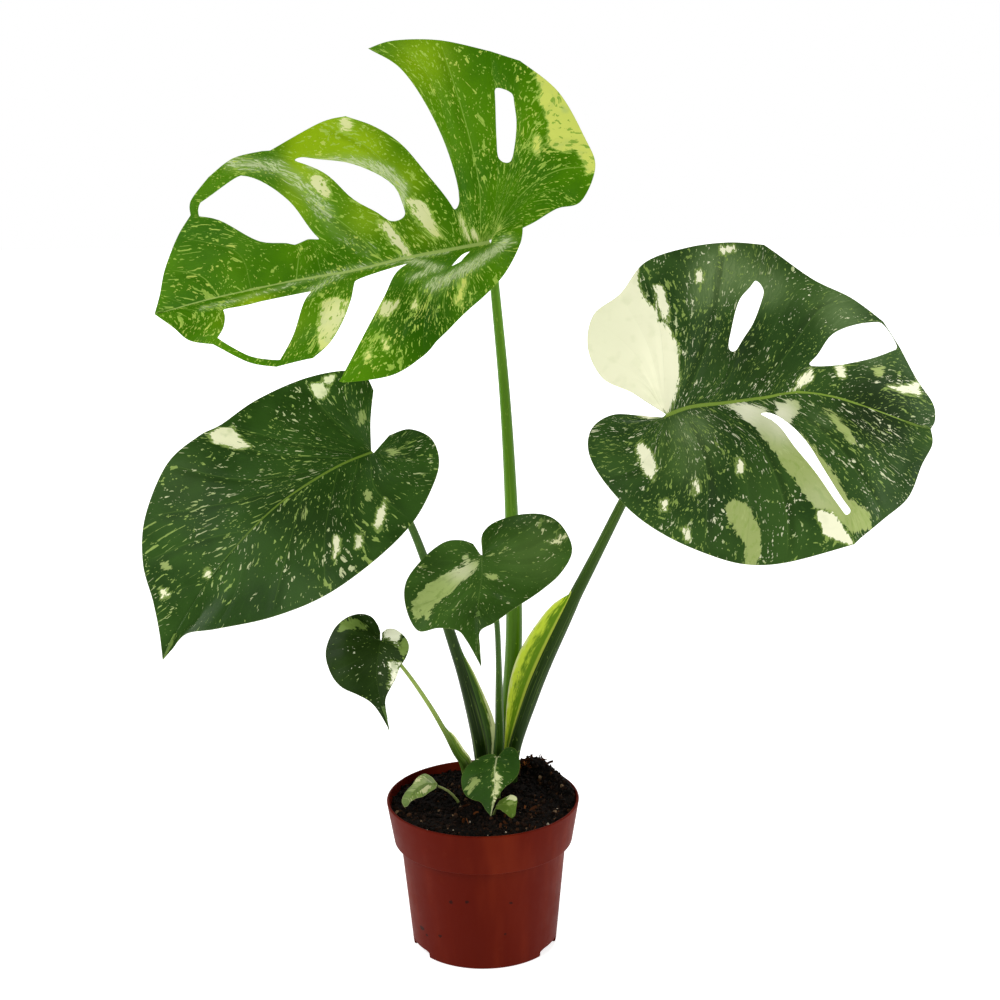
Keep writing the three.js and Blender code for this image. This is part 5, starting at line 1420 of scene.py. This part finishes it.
grains = []
for grainX, grainY, size in soilLook["perlite"]:
    bpy.ops.mesh.primitive_ico_sphere_add(subdivisions=2, radius=size * mm)
    grain = bpy.context.object
    for vertex in grain.data.vertices:  # made lumpy
        shift = 1 + 0.28 * math.sin(vertex.co.x * 1900 + grainX) * math.cos(vertex.co.y * 2300 + grainY)
        vertex.co = vertex.co * shift + Vector((grainX, grainY, level + 1.2)) * mm
    grains.append(grain)
with bpy.context.temp_override(active_object=grains[0], selected_editable_objects=grains):
    bpy.ops.object.join()
perlite = grains[0]
perlite.name = "perlite"
perliteSkin = blendMaterial("perlite skin", (166, 152, 132), (104, 88, 70), 0.8, (0.5, 0.7), 0.85)
perlite.data.materials.append(perliteSkin)
finishPiece(perlite, "potting_soil")
print("pot and soil made")


def crownGroup():  # the short rootstock between the stems
    tree = newGroup("crown", {"Size": (0.0095, 0.0095, 0.016), "At": (0, 0, 0), "Knobs": 0.0015})
    ball = tree.node("GeometryNodeMeshUVSphere", {"Segments": 40, "Rings": 24, "Radius": 1.0}, "Mesh")
    position = tree.position()
    knob = (tree.noise(position * 2.2, 1.0, 2.0) - 0.5) * tree.input("Knobs") * 2.0
    place = position * tree.input("Size") + tree.input("At") + position * knob
    return closeGroup(tree, tree.shape(ball, Position=place))


crown = grow(meshObject("crown_seed", [(0, 0, 0)]), crownGroup(), "crown_look", {
    "Size": (0.0095, 0.0095, 0.016), "At": (0.0095, 0.023, 0.097),
    "Material": blendMaterial("crown skin", (40, 58, 20), (96, 84, 44), 0.25, (0.45, 0.6), 0.6)})
finishPiece(crown, "stem_skin", "crown")

# Stage: a pale floor, an even white room, soft lamps and the camera
# A lamp is given as its name, place, size in metres and power in watts
stageLook = {
    "camera": (13.1, -1626.5, 810.8), "down": 17.75, "roll": 0.75, "focal": 2.836, "sensor": 36,
    "room": 0.24, "behind": 1.0, "aim": (20, 0, 280), "floorSize": 4000, "floor": (244, 244, 244),
    "floorGlow": 0.62, "farGlow": 1.0, "glowFrom": 600, "glowTo": 1300,
    "lamps": (("key", (-900, -1300, 1900), 0.9, 15), ("left", (-1500, 100, 700), 0.8, 14),
              ("right", (1500, -200, 800), 0.8, 14), ("back", (300, 1500, 1400), 0.9, 12)),
}
s = stageLook
floorTree = newSkin("floor skin")
away = distance(floorTree.place.part("X"), floorTree.place.part("Y"))
nearGlow, farGlow = [(share, share, share, 1) for share in (s["floorGlow"], s["farGlow"])]
glow = floorTree.mix(nearGlow, farGlow, floorTree.smooth(away, s["glowFrom"], s["glowTo"]))
floorTree.feed(floorTree.shader, "Emission Color", glow)
floorTree.feed(floorTree.shader, "Emission Strength", 1.0)
half = s["floorSize"] / 2 * mm
corners = [(-half, -half, 0), (half, -half, 0), (half, half, 0), (-half, half, 0)]
floor = meshObject("floor", corners, [(0, 1, 2, 3)])
floor.data.materials.append(finishSkin(floorTree, s["floor"], 0.9))

world = bpy.data.worlds.new("room")
world.use_nodes = True
worldTree = Tree(world.node_tree)
straight = worldTree.node("ShaderNodeLightPath", out="Is Camera Ray")
sky = world.node_tree.nodes["Background"]
worldTree.feed(sky, "Color", (1, 1, 1, 1))
worldTree.feed(sky, "Strength", straight * (s["behind"] - s["room"]) + s["room"])
bpy.context.scene.world = world

aim = Vector(s["aim"]) * mm
for name, at, size, power in s["lamps"]:
    lamp = bpy.data.lights.new(name, "AREA")
    lamp.size, lamp.energy = size, power
    lampObject = newObject(name, lamp)
    lampObject.location = Vector(at) * mm
    lampObject.rotation_euler = (aim - lampObject.location).to_track_quat("-Z", "Y").to_euler()

down, roll = math.radians(s["down"]), math.radians(s["roll"])
forward = Vector((0, math.cos(down), -math.sin(down)))
upright = Vector((0, math.sin(down), math.cos(down)))
sideways = Vector((1, 0, 0))
right = sideways * math.cos(roll) - upright * math.sin(roll)
up = sideways * math.sin(roll) + upright * math.cos(roll)
camera = newObject("camera", bpy.data.cameras.new("camera"))
camera.data.sensor_width, camera.data.lens = s["sensor"], s["sensor"] * s["focal"]
camera.data.clip_start, camera.data.clip_end = 0.05, 50
camera.matrix_world = Matrix((right, up, -forward)).transposed().to_4x4()
camera.location = Vector(s["camera"]) * mm
bpy.context.scene.camera = camera
print("stage set")
